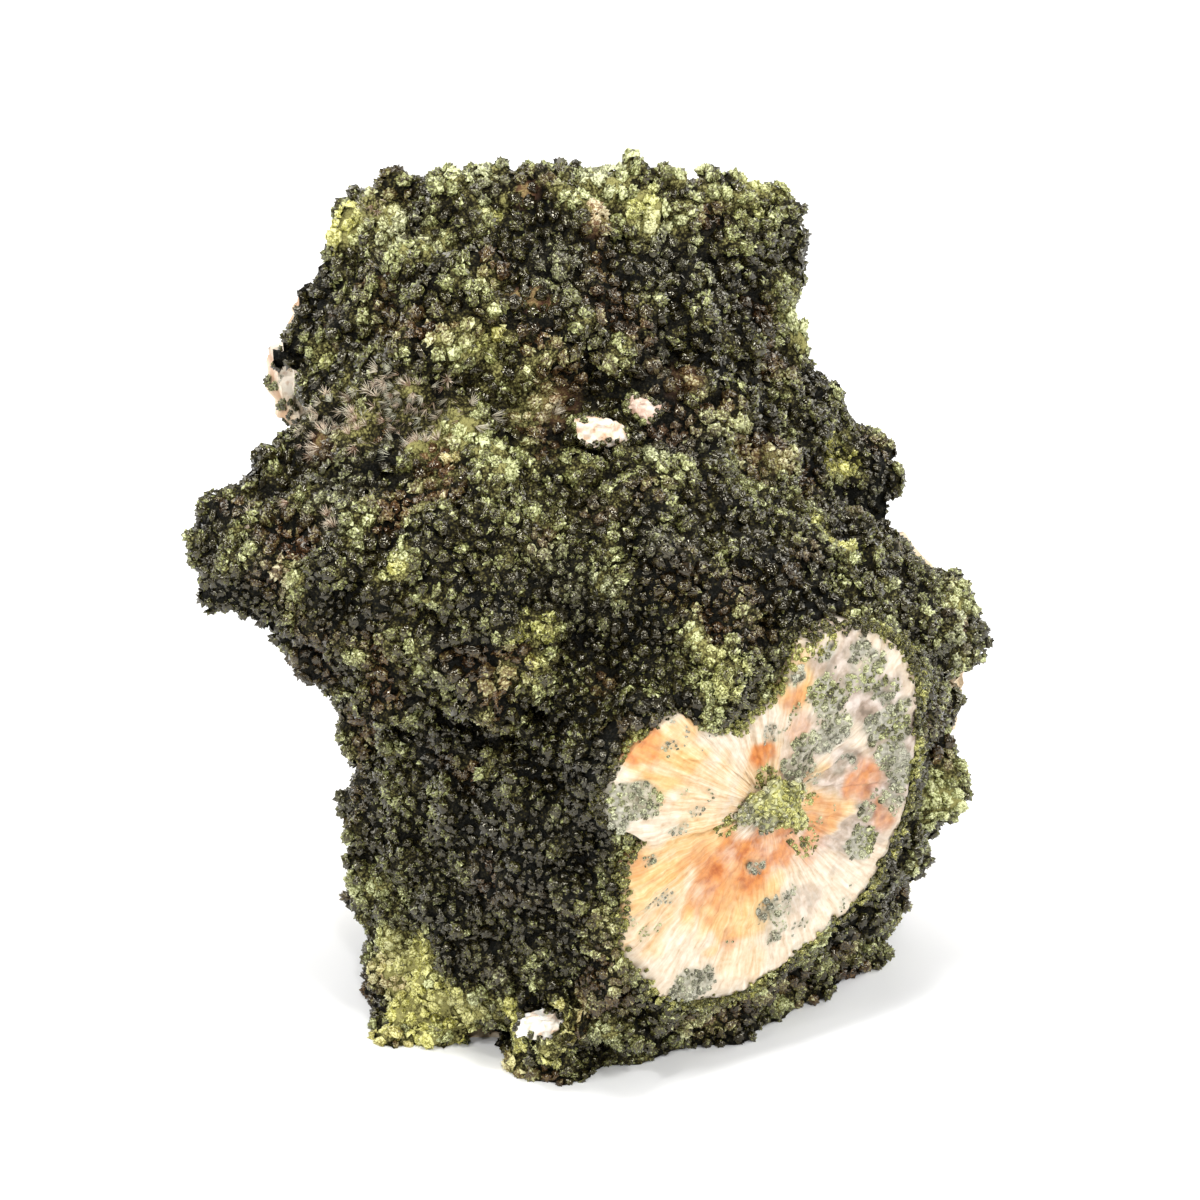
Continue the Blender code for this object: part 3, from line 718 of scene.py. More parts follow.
def fan_material():
    """Silky broken fibres: white to cream, golden, pinkish or grey in places, and rusty at the middle."""
    nodes = Nodes("fan_fibres")
    polar = nodes.vector("polar")
    streaks = nodes.math("MULTIPLY", nodes.noise(1.0, 4.0, polar), 0.65)
    streaks = nodes.math("MULTIPLY_ADD", nodes.noise(0.6, 4.0), 0.35, streaks)
    broad = nodes.noise(6.0, 3.0, polar)
    blotches = nodes.noise(2.6, 3.0)
    colour = nodes.colours(streaks, (
        (0.30, (0.48, 0.34, 0.21)), (0.42, (0.62, 0.49, 0.35)), (0.54, (0.71, 0.61, 0.48)),
        (0.70, (0.80, 0.75, 0.66)),
    ))
    golden = nodes.colours(streaks, (
        (0.30, (0.52, 0.24, 0.07)), (0.44, (0.66, 0.38, 0.13)), (0.58, (0.74, 0.50, 0.22)),
        (0.72, (0.81, 0.65, 0.39)),
    ))
    gold = nodes.math("MULTIPLY", nodes.value("gold"), nodes.span(broad, 0.25, 0.55, 0.3, 1.0))
    colour = nodes.mix(gold, colour, golden)
    pinkish = nodes.colours(nodes.noise(1.5, 4.0), (
        (0.34, (0.17, 0.12, 0.08)), (0.47, (0.36, 0.27, 0.21)), (0.64, (0.66, 0.57, 0.51)),
    ))
    colour = nodes.mix(nodes.math("MULTIPLY", nodes.value("pink"), 0.95), colour, pinkish)
    rusty = nodes.colours(nodes.noise(0.8, 3.0), ((0.3, (0.40, 0.10, 0.02)), (0.7, (0.68, 0.27, 0.06))))
    rust = nodes.math("MULTIPLY", nodes.value("rust"), nodes.span(blotches, 0.30, 0.55, 0.35, 1.0))
    colour = nodes.mix(rust, colour, rusty)
    grey = nodes.colours(nodes.noise(0.4, 2.0), ((0.35, (0.15, 0.16, 0.11)), (0.7, (0.48, 0.47, 0.38))))
    colour = nodes.mix(nodes.value("grey"), colour, grey)
    nodes.bump(streaks, 0.35, 0.15)
    return nodes.finish(colour, nodes.span(streaks, 0.3, 0.7, 0.65, 0.45))


def chip_material(name, colours):
    """A broken pale crystal, cloudy inside."""
    nodes = Nodes(name)
    cloud = nodes.noise(0.9, 4.0)
    colour = nodes.colours(cloud, tuple(zip((0.32, 0.5, 0.68), colours)))
    nodes.shader.inputs["Subsurface Weight"].default_value = 0.2
    nodes.shader.inputs["Subsurface Radius"].default_value = (0.6 * MM, 0.45 * MM, 0.35 * MM)
    nodes.bump(nodes.noise(0.25, 2.0), 0.4, 0.1)
    return nodes.finish(colour, nodes.span(cloud, 0.3, 0.7, 0.55, 0.25))


def floor_material():
    nodes = Nodes("pale_floor")
    colour = nodes.colours(nodes.noise(60.0, 2.0), ((0.0, (0.90, 0.90, 0.90)), (1.0, (0.93, 0.93, 0.93))))
    return nodes.finish(colour, nodes.span(nodes.noise(40.0, 1.0), 0.3, 0.7, 0.75, 0.85))


# Crystal balls

def spread_directions(count, steepest, rng):
    """Unit vectors spread evenly over a cap round +Z that reaches this many degrees from it."""
    lowest = math.cos(math.radians(steepest))
    steps = (np.arange(count) + 0.5) / count
    heights = 1 - steps * (1 - lowest)
    turns = np.arange(count) * math.pi * (3 - math.sqrt(5)) + rng.uniform(0, math.tau)
    flat = np.sqrt(1 - heights ** 2)
    directions = np.stack([np.cos(turns) * flat, np.sin(turns) * flat, heights], -1)
    return unit(directions + rng.normal(0, 0.13, directions.shape))


def dome_faces(directions):
    """The triangles between these directions, without those that close the dome underneath."""
    bm = bmesh.new()
    verts = [bm.verts.new(direction) for direction in directions]
    bottom = bm.verts.new((0, 0, -0.9))
    bmesh.ops.convex_hull(bm, input=[*verts, bottom])
    bm.normal_update()
    bm.verts.index_update()
    faces = []
    for face in bm.faces:
        if bottom not in face.verts:
            faces.append([vert.index for vert in face.verts])
    bm.free()
    return np.array(faces)


def crystal_ball(rng, count, tall, valley, steepest):
    """Crystals side by side that run out from one middle: for each three corners and a skew point."""
    directions = spread_directions(count, steepest, rng)
    valleys = directions * rng.uniform(valley - 0.08, valley + 0.08, (count, 1))
    corners = valleys[dome_faces(directions)]
    middles = corners.mean(1)
    lean = rng.uniform(-0.55, 0.55, (len(corners), 2, 1))
    skew = (corners[:, 0] - middles) * lean[:, 0] + (corners[:, 1] - middles) * lean[:, 1]
    tips = unit(middles) * rng.uniform(1 - tall, 1.0, (len(corners), 1)) + skew
    return np.concatenate([corners, tips[:, None]], 1)


def needle_ball(rng, count, width, steepest):
    """A spray of needles, told the same way."""
    directions = spread_directions(count, steepest, rng)
    across = unit(np.cross(directions, rng.normal(size=directions.shape)))
    along = np.cross(directions, across)
    turns = (np.arange(3) * math.tau / 3)[:, None]
    ring = across[:, None] * np.cos(turns) + along[:, None] * np.sin(turns)
    tips = directions * rng.uniform(0.7, 1.0, (count, 1))
    return np.concatenate([directions[:, None] * 0.1 + ring * width, tips[:, None]], 1)


# Each kind's second number darkens a crystal's root corners against its tip: painted shade between the
# crystals, and partly the deeper colour of a crystal's root.
BALL_KINDS = {
    "glassy": (crystal_ball, 0.58, dict(count=13, tall=0.26, valley=0.70, steepest=104)),
    "mossy": (crystal_ball, 0.70, dict(count=16, tall=0.26, valley=0.70, steepest=104)),
    "needle": (needle_ball, 0.50, dict(count=24, width=0.032, steepest=34)),
    "speck": (crystal_ball, 0.90, dict(count=9, tall=0.30, valley=0.70, steepest=96)),
}


def turned_to(normals, rng):
    """Turns that take +Z near to each normal, with any spin about it, and stretch each way by chance."""
    upward = unit(normals + rng.normal(0, BALL_TILT, normals.shape))
    across = unit(np.cross(upward, rng.normal(size=normals.shape)))
    along = np.cross(upward, across)
    stretch = rng.uniform(*BALL_STRETCH, (len(normals), 1, 3))
    return np.stack([across, along, upward], -1) * stretch


def crowd_of(places, radii):
    """The nearest other balls of each ball: their middles, and how far out they hide a crystal's tip."""
    tree = KDTree(len(places))
    for index, place in enumerate(places):
        tree.insert(place, index)
    tree.balance()
    count = min(NEIGHBOURS + 1, len(places))
    near = np.array([[found[1] for found in tree.find_n(place, count)][1:] for place in places])
    return places[near], radii[near] * HIDDEN_WITHIN


def ball_sites(places, facing, radii, rng, tone, kind, grey=0.0, rust=0.0, yellow=0.0):
    """What plant needs to know of balls at these places, as a dict of arrays."""
    count = len(places)
    near, near_reach = crowd_of(places, radii)
    sites = dict(
        place=places, normal=facing, radius=radii, near=near, near_reach=near_reach,
        kind=np.broadcast_to(kind, count), variant=rng.integers(0, BALL_SHAPES, count),
        number=rng.uniform(0, BALL_NUMBERS, count),
    )
    for name, values in (("tone", tone), ("grey", grey), ("rust", rust), ("yellow", yellow)):
        sites[name] = np.broadcast_to(values, count)
    return sites


def plant(name, sites, rng):
    """One piece with a ball of crystals at each site."""
    crystals = []
    rays = []
    tones = []
    tints = {"grey": [], "rust": [], "yellow": [], "number": []}
    for kind, (make_ball, root_shade, shape) in BALL_KINDS.items():
        for variant in range(BALL_SHAPES):
            chosen = np.flatnonzero((sites["kind"] == kind) & (sites["variant"] == variant))
            if not len(chosen):
                continue
            ball = make_ball(np.random.default_rng((SEED, variant)), **shape)
            turns = turned_to(sites["normal"][chosen], rng) * sites["radius"][chosen, None, None]
            placed = np.einsum("kij,bnj->kbni", turns, ball) + sites["place"][chosen, None, None]
            tips = placed[:, :, 3]
            apart = np.linalg.norm(tips[:, :, None] - sites["near"][chosen, None], axis=-1)
            shown = (apart > sites["near_reach"][chosen, None]).all(-1)
            luck = rng.uniform(-1, 1, shown.shape)
            fleck = noise(tips.reshape(-1, 3), FLECK_SIZE, 17).reshape(shown.shape) - 0.5
            # A few crystals are much lighter: pale tips, and partly painted glints.
            tone = sites["tone"][chosen, None] + (LUCK + PALE_AND_GLINT_LUCK * (luck > PALE_AND_GLINT_OVER)) * luck
            tone = tone + FLECK * fleck
            crystals.append(placed[shown])
            rays.append(np.broadcast_to(ball, placed.shape)[shown])
            # Root corners darker than the tip: painted shade between the crystals, partly the root's deeper
            # colour.
            tones.append(tone[shown][:, None] * (root_shade, root_shade, root_shade, 1.0))
            for tint, parts in tints.items():
                parts.append(np.broadcast_to(sites[tint][chosen, None], shown.shape)[shown])
    points = np.concatenate(crystals).reshape(-1, 3)
    points[:, 2] = np.maximum(points[:, 2], 0)
    sides = np.array([(0, 1, 3), (1, 2, 3), (2, 0, 3)])
    triangles = (np.arange(0, len(points), 4)[:, None, None] + sides).reshape(-1, 3)
    piece = add_piece(name, points, triangles)
    tell(piece, "tone", np.concatenate(tones).ravel())
    tell(piece, "ray", np.concatenate(rays).reshape(-1, 3))
    for tint, parts in tints.items():
        tell(piece, tint, np.repeat(np.concatenate(parts), 4))
    return piece


def grow(name, dressing, rng, places, facing, radii, *looks):
    """A dressed piece of balls at these places. Their looks are told as ball_sites takes them."""
    dress(plant(name, ball_sites(places, facing, radii, rng, *looks), rng), *dressing)


def scatter(tries, rng, triangles, points, *others):
    """Random places on a skin, evenly by area, and what the other values of its points are there."""
    corners = points[triangles]
    areas = np.linalg.norm(np.cross(corners[:, 1] - corners[:, 0], corners[:, 2] - corners[:, 0]), axis=-1)
    chosen = rng.choice(len(triangles), tries, p=areas / areas.sum())
    shares = np.sort(rng.random((tries, 2)), axis=-1)
    weights = np.stack([shares[:, 0], shares[:, 1] - shares[:, 0], 1 - shares[:, 1]], -1)
    found = []
    for values in (points, *others):
        parts = weights if values.ndim == 1 else weights[..., None]
        found.append((values[triangles[chosen]] * parts).sum(1))
    return found


def kept_apart(places, reaches, order):
    """Which places stay when none may be nearer to another than the mean of their reaches."""
    cell = reaches.max()
    grid = {}
    kept = []
    keys = np.floor(places / cell).astype(int)
    steps = [(i, j, k) for i in (-1, 0, 1) for j in (-1, 0, 1) for k in (-1, 0, 1)]
    spots = places.tolist()
    sizes = reaches.tolist()
    for index in order.tolist():
        x, y, z = spots[index]
        size = sizes[index]
        column, row, layer = keys[index]
        clear = True
        for i, j, k in steps:
            for other in grid.get((column + i, row + j, layer + k), ()):
                a, b, c = spots[other]
                apart = (size + sizes[other]) / 2
                if (x - a) ** 2 + (y - b) ** 2 + (z - c) ** 2 < apart * apart:
                    clear = False
                    break
            if not clear:
                break
        if clear:
            grid.setdefault((column, row, layer), []).append(index)
            kept.append(index)
    return np.array(kept)


# The crust

def lump_heights(points, size, seed):
    """How high rounded lumps of this size stand at each point, from 0 in their crevices to 1."""
    bent = points + 0.8 * size * (wobble(points, 0.7 * size, seed + 2) - 0.5)
    cracks, middles = crackle(bent, size, seed)
    return 0.45 * ramp(cracks, 0.0, CREVICE_WIDTH) + 0.55 * (1 - ramp(middles, 0.0, 0.95))


def make_skin():
    """The crust's skin, sunk under its outside and parted into lumps."""
    skin = remeshed("crust_skin", "epidote_mass", SKIN_VOXEL, 2, FILLINGS)
    points = points_of(skin.data)
    normals = normals_of(skin.data)
    lumps = lump_heights(points, LUMP_SIZE, 31)
    knobs = lump_heights(points, KNOB_SIZE, 35)
    roll = layered(points, SKIN_ROLL_SIZE, 41, 2) - 0.5
    sink = SKIN_DEPTH + LUMP_DEPTH * (1 - lumps) + KNOB_DEPTH * (1 - knobs) - SKIN_ROLL * roll
    sink -= sum(push * ramp(side * points[:, 0], low, high) for side, low, high, push in END_PUSHES)
    by_fan = nearness(points, "fibrous_fan", BY_FAN)
    sink = sink * (1 - by_fan) - RAISED_BY_FAN * by_fan
    resting = (points[:, 2] < FLOOR_BAND) & (normals[:, 2] < -0.6)
    sink = np.where(resting, 0.1, sink)
    moved = points - normals * sink[:, None]
    moved[:, 2] = np.maximum(moved[:, 2], 0)
    move_points(skin.data, moved)
    raised = 0.6 * lumps + 0.4 * knobs
    # The skin is darker than the crust's balls: painted shade in the gaps between them.
    tell(skin, "tone", crust_tone(points, raised) - SKIN_PAINTED_SHADE)
    tell(skin, "rust", 0.5 * spotted(points, RUST_SPOTS))
    skin.data.shade_smooth()
    return skin, raised


def crust_tone(places, raised):
    """How light the crust is at each place: 0 is black green, 1 pale yellow green."""
    size, share = TONE_PATCHES
    small_size, small_share = TONE_SMALL_PATCHES
    tone = TONE_START + share * (layered(places, size, 5) - 0.5)
    # Raised places are lighter and crevices darker: painted light on the lumps, painted shade in crevices.
    tone = tone + small_share * (noise(places, small_size, 9) - 0.5) + TONE_LIT_TOPS_SHADED_CREVICES * (raised - 0.5)
    low, high, upper = TONE_UPPER
    tone += upper * ramp(places[:, 2], low, high)
    # The dark spots darken the crust, partly as painted shade under the lobes and in pits and grooves.
    # The yellow spots lighten the crust, partly as painted light on top edges.
    tone += TONE_YELLOW_AND_LIT * spotted(places, YELLOW_AND_LIT_SPOTS) + TONE_DARK_AND_SHADE * spotted(places, DARK_AND_SHADE_SPOTS)
    tone += TONE_RUST * spotted(places, RUST_SPOTS) ** 2 + TONE_NEEDLE * spotted(places, NEEDLE_SPOTS)
    return tone + TONE_BY_FAN * nearness(places, "fibrous_fan", 1.0)


def nearness(places, node, within):
    """1 at the node's solid, falling to 0 at twice this distance from it."""
    tree = solid_tree(node)
    reach = np.array([tree.find_nearest(Vector(place))[3] for place in places])
    return 1 - ramp(reach, 0.5 * within, 2 * within)


def uncovered(kept, places, facing, *nodes):
    """Which of the kept places have none of these nodes' solids close in front of them."""
    tree = solid_tree(*nodes)
    return np.array([
        index for index in kept
        if tree.ray_cast(Vector(places[index]), Vector(facing[index]), BLOCKED_WITHIN)[0] is None
    ])


def crust_sites(skin, heights, rng):
    """Where the crust's crystal balls stand, and the size and colour of each."""
    places, facing, raised = scatter(
        BALL_TRIES, rng, triangles_of(skin.data), points_of(skin.data), normals_of(skin.data), heights,
    )
    facing = unit(facing)
    sizes = 0.55 * layered(places, 9, 3) + 0.45 * rng.random(len(places)) + 0.10 * raised
    sizes += UPPER_GROWTH * ramp(places[:, 2], *UPPER_FROM)
    low, high = BALL_RADIUS
    needles = spotted(places, NEEDLE_SPOTS)
    radii = (low + (high - low) * ramp(sizes, 0.25, 0.95)) * (1 - NEEDLE_SHRINK * needles)
    open_air = places[:, 2] > 0.1
    open_air &= ~((places[:, 2] < FLOOR_BAND) & (facing[:, 2] < -0.6))
    order = np.argsort(-radii + 0.25 * rng.random(len(radii)))
    order = order[open_air[order]]
    kept = kept_apart(places, radii * BALL_SPACING, order)
    kept = uncovered(kept, places, facing, *(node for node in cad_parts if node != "epidote_mass"))
    places, facing, radii = places[kept], facing[kept], radii[kept]
    raised, needles = raised[kept], needles[kept]
    rust = spotted(places, RUST_SPOTS)
    tone = crust_tone(places, raised) + 0.03 * rng.normal(size=len(places))
    tone = np.clip(tone, 0.08, 1.0)
    grey = ramp(noise(places, 5, 15), 0.62, 0.85) * 0.25
    rust = np.maximum(0.8 * rust, 0.5 * ramp(noise(places, 5, 25), 0.60, 0.85) * (1 - raised))
    # The yellow spots, partly painted light, also turn the crystals' hue yellow.
    yellow = ramp(spotted(places, YELLOW_AND_LIT_SPOTS), 0.5, 1.0)
    needle = needles > 0.18 + 0.65 * rng.random(len(places))
    kind = np.where(needle, "needle", np.where(tone > MOSSY_OVER, "mossy", "glassy"))
    tone = np.where(needle, 0.72 + 0.55 * rng.random(len(places)), tone)
    grey = np.where(needle, 0.8, grey)
    rust = np.where(needle, 0.6 * rng.random(len(places)), rust)
    place = places - facing * (radii * BALL_SINK)[:, None]
    sites = ball_sites(place, facing, radii, rng, tone, kind, grey, rust, yellow)
    combed = unit(facing + NEEDLE_LEAN * (2 * wobble(places, NEEDLE_SWIRL, 71) - 1))
    sites["normal"] = np.where(needle[:, None], combed, facing)
    sites["radius"] = np.where(needle, radii * NEEDLE_LENGTH, radii)
    return sites


def make_crust():
    """The crust's skin and its balls in bands, dressed. Returns the crystals' material."""
    rng = np.random.default_rng(SEED)
    skin, heights = make_skin()
    dress(skin, skin_material(), "epidote", ["epidote_mass"])
    sites = crust_sites(skin, heights, rng)
    material = crystal_material()
    order = np.argsort(sites["place"][:, 2])
    for band, chosen in zip(BANDS, np.array_split(order, len(BANDS))):
        piece = plant("crystals_" + band, {key: values[chosen] for key, values in sites.items()}, rng)
        dress(piece, material, "epidote", ["epidote_mass"])
    return material


# The rock

def make_rock(crystals):
    """The rock broken to flat faces where it is bare, and the crystals grown on it."""
    rock = remeshed("broken_rock", "rock_matrix", ROCK_VOXEL, 1)
    points = points_of(rock.data)
    normals = normals_of(rock.data)
    bent = points + ROCK_BEND * (wobble(points, ROCK_BEND_SIZE, 67) - 0.5)
    blocks = crackle(bent, ROCK_BLOCKS, 51)[0]
    grain = layered(points, ROCK_GRAIN_SIZE, 53, 3) - 0.5
    broken = sum(height * facets(bent, size, seed) for size, seed, height in ROCK_FACETS)
    low, high = ROCK_REACH
    depth = high + 0.3 * (1 - ramp(blocks, 0, 0.05)) - ROCK_GRAIN * grain - np.clip(broken, low, high)
    depth = np.where((points[:, 2] < FLOOR_BAND) & (normals[:, 2] < -0.6), 0, depth)
    bare = np.maximum(ramp(points[:, 1], *BARE_BEHIND), 1 - nearness(points, "epidote_mass", 0.7))
    shown = spotted(points, ROCK_SPOTS)
    depth = depth * (1 - 0.4 * shown) - ROCK_SHOWN_GRAIN * shown * (layered(points, 1.4, 55, 2) - 0.5)
    bare = np.maximum(bare, shown)
    moved = points - normals * (depth * bare + 0.25 * grain * (1 - bare))[:, None]
    moved[:, 2] = np.maximum(moved[:, 2], 0)
    move_points(rock.data, moved)
    tell(rock, "seam", (1 - ramp(blocks, 0, 0.10)) * ramp(noise(points, 6, 59), 0.45, 0.7))
    rock.data.shade_smooth()
    rock.data.set_sharp_from_angle(angle=math.radians(35))
    dress(rock, rock_material(), "matrix", ["rock_matrix"])

    rng = np.random.default_rng(SEED + 1)
    places, facing = scatter(ROCK_TRIES, rng, triangles_of(rock.data), moved, normals_of(rock.data))
    facing = unit(facing)
    cover = ramp(layered(places, 8, 61, 4), 0.57, 0.66) * ramp(places[:, 1], 12, 18)
    cover += 0.7 * spotted(places, ROCK_SPOTS) * ramp(noise(places, 1.8, 65), 0.5, 0.65)
    stays = (rng.random(len(places)) < cover) & (places[:, 2] > 0.3)
    low, high = ROCK_BALLS
    radii = low + (high - low) * rng.random(len(places))
    kept = kept_apart(places, radii * 1.05, np.flatnonzero(stays))
    kept = uncovered(kept, places, facing, "epidote_mass")
    places, facing, radii = places[kept], facing[kept], radii[kept]
    tone = np.clip(0.30 + 0.9 * (layered(places, 6, 63) - 0.4), 0.08, 0.9)
    grow(
        "rock_crystals", (crystals, "epidote", ["rock_matrix"]), rng, places - facing * 0.05, facing, radii,
        tone, np.where(tone > 0.45, "mossy", "glassy"),
        0.2 * rng.random(len(kept)), 0.3 * (rng.random(len(kept)) > 0.9),
    )


# The fan

def fan_frame():
    """The fan's place: X across its face, Y up it and Z out of it, in millimetres."""
    turn = Matrix.Rotation(math.radians(FAN_YAW), 4, "Z")
    lean = Matrix.Rotation(math.radians(90 + FAN_TIP), 4, "X")
    return Matrix.Translation(Vector(FAN_CENTRE)) @ turn @ lean


def fan_reach(place, angles):
    """How far the fan's solid reaches from its middle in each direction."""
    tree = solid_tree("fibrous_fan")
    start = place @ Vector((0, 0, -FAN_DEPTH / 2))
    turn = place.to_3x3()
    return np.array([tree.ray_cast(start, turn @ Vector((math.cos(a), math.sin(a), 0)))[3] for a in angles])


def fan_height(angles, shares, reach):
    """How far the broken face stands out: bundles of fibres, each broken at its length, and finer ones."""
    out = shares * reach
    circle = np.stack([np.cos(angles), np.sin(angles), out * 0], -1)
    bundles = noise(circle * FAN_BUNDLES + np.array((0, 0, 5.0)), 1, 81)
    lengths = 2 + 15 * noise(circle * FAN_LENGTHS, 1, 83)
    broken = ramp(out - lengths, -0.3, 0.3) - 0.5
    fine = noise(circle * FAN_FINE + out[:, None] * (0, 0, 0.5), 1, 85) - 0.5
    finest = noise(circle * FAN_FINEST + out[:, None] * (0, 0, 0.9), 1, 87) - 0.5
    flat = circle * out[:, None]
    crumbs = layered(flat, 1.1, 89, 2) - 0.5
    low, high, rise = FAN_LEDGE
    degrees = np.degrees(angles)
    before_end = high - degrees + 6 * (noise(flat, 1.5, 82) - 0.5)
    ledge = rise * ramp(degrees, low, high - 20) * ramp(before_end, 0, 3)
    rough = ramp(out, 1.0, 4.0)
    relief = 0.4 * (bundles - 0.5) + 0.3 * broken + 0.12 * fine + 0.08 * finest + 0.7 * crumbs
    return rough * (relief + ledge)


def fan_mesh(angles, reach):
    """The fan in its own frame, as points and triangles, of which those of its face come first."""
    shares = np.linspace(0, 1, FAN_RINGS + 1)[1:]
    around, out = np.meshgrid(angles, shares, indexing="ij")
    limits = np.repeat(reach[:, None], FAN_RINGS, 1)
    heights = fan_height(around.ravel(), out.ravel(), limits.ravel()).reshape(around.shape)
    heights -= 0.35 * ramp(out, 0.93, 1.0)
    flat = np.stack([np.cos(around) * out * limits, np.sin(around) * out * limits, heights], -1)
    rim = flat[:, -1].copy()
    rim[:, 2] = -FAN_DEPTH
    local = np.concatenate([flat.reshape(-1, 3), rim, ((0, 0, 0.1), (0, 0, -FAN_DEPTH))])
    index = np.arange(FAN_RAYS * FAN_RINGS).reshape(FAN_RAYS, FAN_RINGS)
    following = np.roll(index, -1, 0)
    low = FAN_RAYS * FAN_RINGS + np.arange(FAN_RAYS)
    after = np.roll(low, -1)
    top = len(local) - 2
    bottom = len(local) - 1
    quads = [
        (index[:, :-1], index[:, 1:], following[:, 1:]),
        (index[:, :-1], following[:, 1:], following[:, :-1]),
        (index[:, -1], low, after), (index[:, -1], after, following[:, -1]),
        (np.full(FAN_RAYS, top), index[:, 0], following[:, 0]), (np.full(FAN_RAYS, bottom), after, low),
    ]
    return local, np.concatenate([np.stack([part.ravel() for part in quad], -1) for quad in quads])


def make_fan(crystals):
    """The fan's broken face, round its solid's rays, and the crystals on it."""
    place = fan_frame()
    matrix = np.array(place)
    angles = np.arange(FAN_RAYS) * math.tau / FAN_RAYS
    reach = fan_reach(place, angles)
    local, triangles = fan_mesh(angles, reach)
    points = local @ matrix[:3, :3].T + matrix[:3, 3]
    fan = add_piece("fan_fibres", points, triangles)
    out_of = np.linalg.norm(local[:, :2], axis=-1)
    angle = np.arctan2(local[:, 1], local[:, 0])
    tell(fan, "polar", np.stack([np.cos(angle) * 40, np.sin(angle) * 40, out_of * 0.35], -1))
    for name, spots in (("rust", RUST_ON_FAN), ("gold", GOLD_ON_FAN), ("pink", PINK_ON_FAN)):
        tell(fan, name, spotted(points, spots))
    wash = spotted(points, GREY_ON_FAN) * ramp(layered(points, 0.9, 94, 2), 0.35, 0.65)
    tell(fan, "grey", np.maximum(0.8 * grey_cover(points), 0.6 * wash))
    fan.data.shade_smooth()
    dress(fan, fan_material(), "fan", ["fibrous_fan"])

    rng = np.random.default_rng(SEED + 2)
    face = triangles[:2 * FAN_RAYS * (FAN_RINGS - 1)]
    on_face = face_balls(matrix, points, face, rng)
    on_rim = rim_balls(matrix, angles, reach, rng)
    places, radii, facing, tone, grey, yellow, mossy = map(np.concatenate, zip(on_face, on_rim))
    grow(
        "fan_crystals", (crystals, "tuft", ["fibrous_fan"]), rng, places - facing * (radii * 0.4)[:, None],
        facing, radii, np.clip(tone, 0.2, 0.95), np.where(mossy, "mossy", "speck"), grey, 0.0, yellow,
    )


def face_balls(matrix, points, face, rng):
    """The balls on the fan's face: place, radius, facing, tone, how grey, how yellow, and whether mossy."""
    places = scatter(FAN_TRIES, rng, face, points)[0]
    green = spotted(places, GREEN_ON_FAN)
    amount = np.maximum(grey_cover(places), green)
    radii = 0.17 + 0.16 * rng.random(len(places)) + 0.40 * ramp(amount, 0.5, 1.0) * rng.random(len(places))
    order = np.flatnonzero(rng.random(len(places)) < 0.8 * amount ** 2)
    order = order[np.argsort(-radii[order])]
    kept = kept_apart(places, radii * 1.3, order)
    places, radii, green = places[kept], radii[kept], green[kept]
    facing = unit(matrix[:3, 2] + rng.normal(0, 0.3, (len(kept), 3)))
    tone = 0.78 + 0.4 * (noise(places, 1.6, 101) - 0.5) + 0.06 * rng.normal(size=len(kept))
    grey = np.clip(0.50 + 1.6 * (noise(places, 3.0, 102) - 0.5) - green, 0.0, 0.9)
    return places, radii, facing, tone, grey, 0.8 * green, radii > 0.42


def rim_balls(matrix, angles, reach, rng):
    """The balls along the fan's rim, told the same way."""
    turns = rng.uniform(0, math.tau, RIM_TRIES)
    out = np.interp(turns, angles, reach, period=math.tau) + rng.normal(*RIM_OUT, RIM_TRIES)
    heights = rng.uniform(*RIM_HEIGHTS, RIM_TRIES)
    local = np.stack([np.cos(turns) * out, np.sin(turns) * out, heights], -1)
    places = local @ matrix[:3, :3].T + matrix[:3, 3]
    radii = rng.uniform(*RIM_RADIUS, RIM_TRIES)
    kept = kept_apart(places, radii * 1.25, np.arange(RIM_TRIES))
    places, radii = places[kept], radii[kept]
    sideways = unit(local[kept] * (1, 1, 0)) @ matrix[:3, :3].T
    facing = unit(sideways * 0.5 + matrix[:3, 2] + rng.normal(0, 0.2, (len(kept), 3)))
    # The rim's balls are darker in the dark spots, partly as painted shade.
    tone = 0.64 - 0.35 * spotted(places, DARK_AND_SHADE_SPOTS) + 0.6 * (noise(places, 3.0, 104) - 0.5)
    tone = tone + 0.06 * rng.normal(size=len(kept))
    count = len(kept)
    return places, radii, facing, tone, np.zeros(count), np.full(count, 0.7), np.full(count, True)


def grey_cover(places):
    """How thickly grey green crystals cover the fan's face."""
    cover = spotted(places, GREY_ON_FAN)
    islands = ramp(1.35 * cover - 1.2 * layered(places, 1.5, 95, 3), -0.1, 0.4)
    loose = ramp(noise(places, 1.3, 91), 0.62, 0.8) * ramp(noise(places, 5.0, 93), 0.45, 0.65)
    return np.clip(islands + 0.5 * loose, 0, 1)


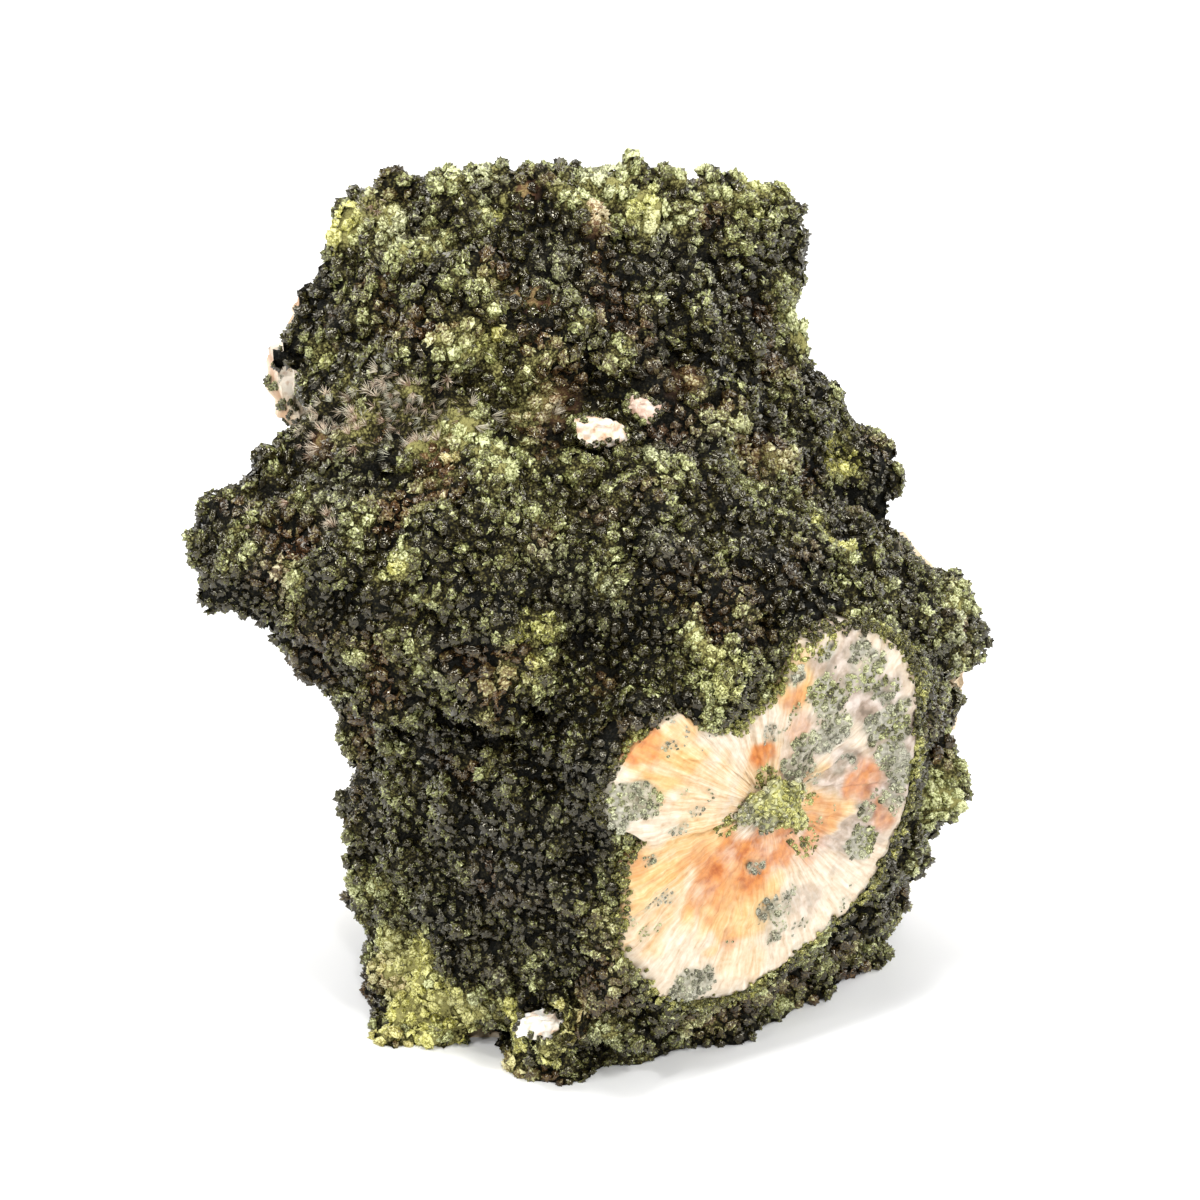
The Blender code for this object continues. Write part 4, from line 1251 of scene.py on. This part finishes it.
def make_tuft(crystals):
    """The clump of green crystals on the fan's middle."""
    tuft = remeshed("tuft_skin", "fan_tuft", TUFT_VOXEL, 1)
    points = points_of(tuft.data)
    normals = normals_of(tuft.data)
    move_points(tuft.data, points - normals * TUFT_SINK)
    for name, value in (("tone", 0.68), ("grey", 0.3), ("yellow", 0.5)):
        tell(tuft, name, np.full(len(points), value))
    tell(tuft, "ray", normals)
    tuft.data.shade_smooth()
    dress(tuft, crystals, "tuft", ["fan_tuft"])

    rng = np.random.default_rng(SEED + 3)
    places, facing = scatter(TUFT_TRIES, rng, triangles_of(tuft.data), points_of(tuft.data), normals)
    facing = unit(facing)
    order = np.flatnonzero(facing @ np.array(fan_frame())[:3, 2] > -0.1)
    low, high = TUFT_BALLS
    radii = low + (high - low) * rng.random(len(places))
    kept = kept_apart(places, radii * 1.4, order)
    places, facing, radii = places[kept], facing[kept], radii[kept]
    tone = 0.84 + 0.5 * (noise(places, 1.6, 99) - 0.45) + 0.1 * rng.normal(size=len(kept))
    grey = 0.8 * ramp(noise(places, 2.2, 97), 0.5, 0.7)
    grow(
        "tuft_crystals", (crystals, "tuft", ["fan_tuft"]), rng, places, facing, radii,
        np.clip(tone, 0.2, 1), "mossy", grey, 0.0, 0.8,
    )


# The chips

def make_chips(crystals):
    """The pale chips, broken to flat faces and partly grown over."""
    rng = np.random.default_rng(SEED + 4)
    axes = np.array([(1, 0, 0), UPWARD, -FORWARD])
    for node, (stretch, sunk, colours) in CHIPS.items():
        chip = remeshed(node + "_crystal", node, CHIP_VOXEL, 0)
        points = points_of(chip.data)
        middle = points.mean(0)
        local = (points - middle) @ axes.T * stretch
        for direction in unit(rng.normal(size=(CHIP_CUTS, 3))):
            heights = local @ direction
            over = np.maximum(heights - rng.uniform(*CHIP_KEPT) * heights.max(), 0)
            local -= over[:, None] * direction
        local += 0.55 * (wobble(local, 0.9, 107) - 0.5) + 0.25 * (wobble(local, 0.35, 111) - 0.5)
        local[:, 2] -= sunk
        moved = middle + local @ axes
        move_points(chip.data, moved)
        chip.data.shade_smooth()
        chip.data.set_sharp_from_angle(angle=math.radians(18))
        dress(chip, chip_material(node, colours), "chip", [node])

        outline = np.linalg.norm(local[:, :2] / local[:, :2].std(0), axis=-1)
        grown = outline + 1.6 * (noise(moved, 1.6, 113) - 0.5) > 1.5
        order = rng.permutation(np.flatnonzero(grown & (local[:, 2] > -0.8)))
        radii = rng.uniform(*CHIP_BALLS, len(moved))
        kept = kept_apart(moved, radii * 1.25, order)
        tone = 0.35 + 0.9 * (noise(moved[kept], 2.0, 115) - 0.4)
        facing = unit(normals_of(chip.data)[kept] + axes[2])
        kind = np.where(tone > 0.5, "mossy", "glassy")
        grow(
            node + "_growth", (crystals, "epidote", [node]), rng, moved[kept], facing, radii[kept],
            np.clip(tone, 0.1, 0.9), kind,
        )


# Floor and light

def make_floor():
    bm = bmesh.new()
    bmesh.ops.create_grid(bm, x_segments=2, y_segments=2, size=FLOOR_HALF * MM)
    mesh = bpy.data.meshes.new("floor")
    bm.to_mesh(mesh)
    bm.free()
    mesh.materials.append(floor_material())
    add_object("floor", mesh)


def make_light():
    """A white world and soft square lights."""
    world = bpy.data.worlds.new("studio")
    world.use_nodes = True
    world.node_tree.nodes["Background"].inputs["Color"].default_value = (1, 1, 1, 1)
    world.node_tree.nodes["Background"].inputs["Strength"].default_value = WORLD_LIGHT
    bpy.context.scene.world = world
    for name, (place, size, power, aim) in LIGHTS.items():
        data = bpy.data.lights.new(name, "AREA")
        data.shape = "SQUARE"
        data.size = size * MM
        data.energy = power
        light = add_object(name, data)
        light.location = Vector(place) * MM
        light.rotation_euler = (Vector(aim) - Vector(place)).to_track_quat("-Z", "Y").to_euler()
    bpy.context.scene.view_settings.view_transform = "Standard"


make_camera()
crystals = make_crust()
make_rock(crystals)
make_fan(crystals)
make_tuft(crystals)
make_chips(crystals)
make_floor()
make_light()
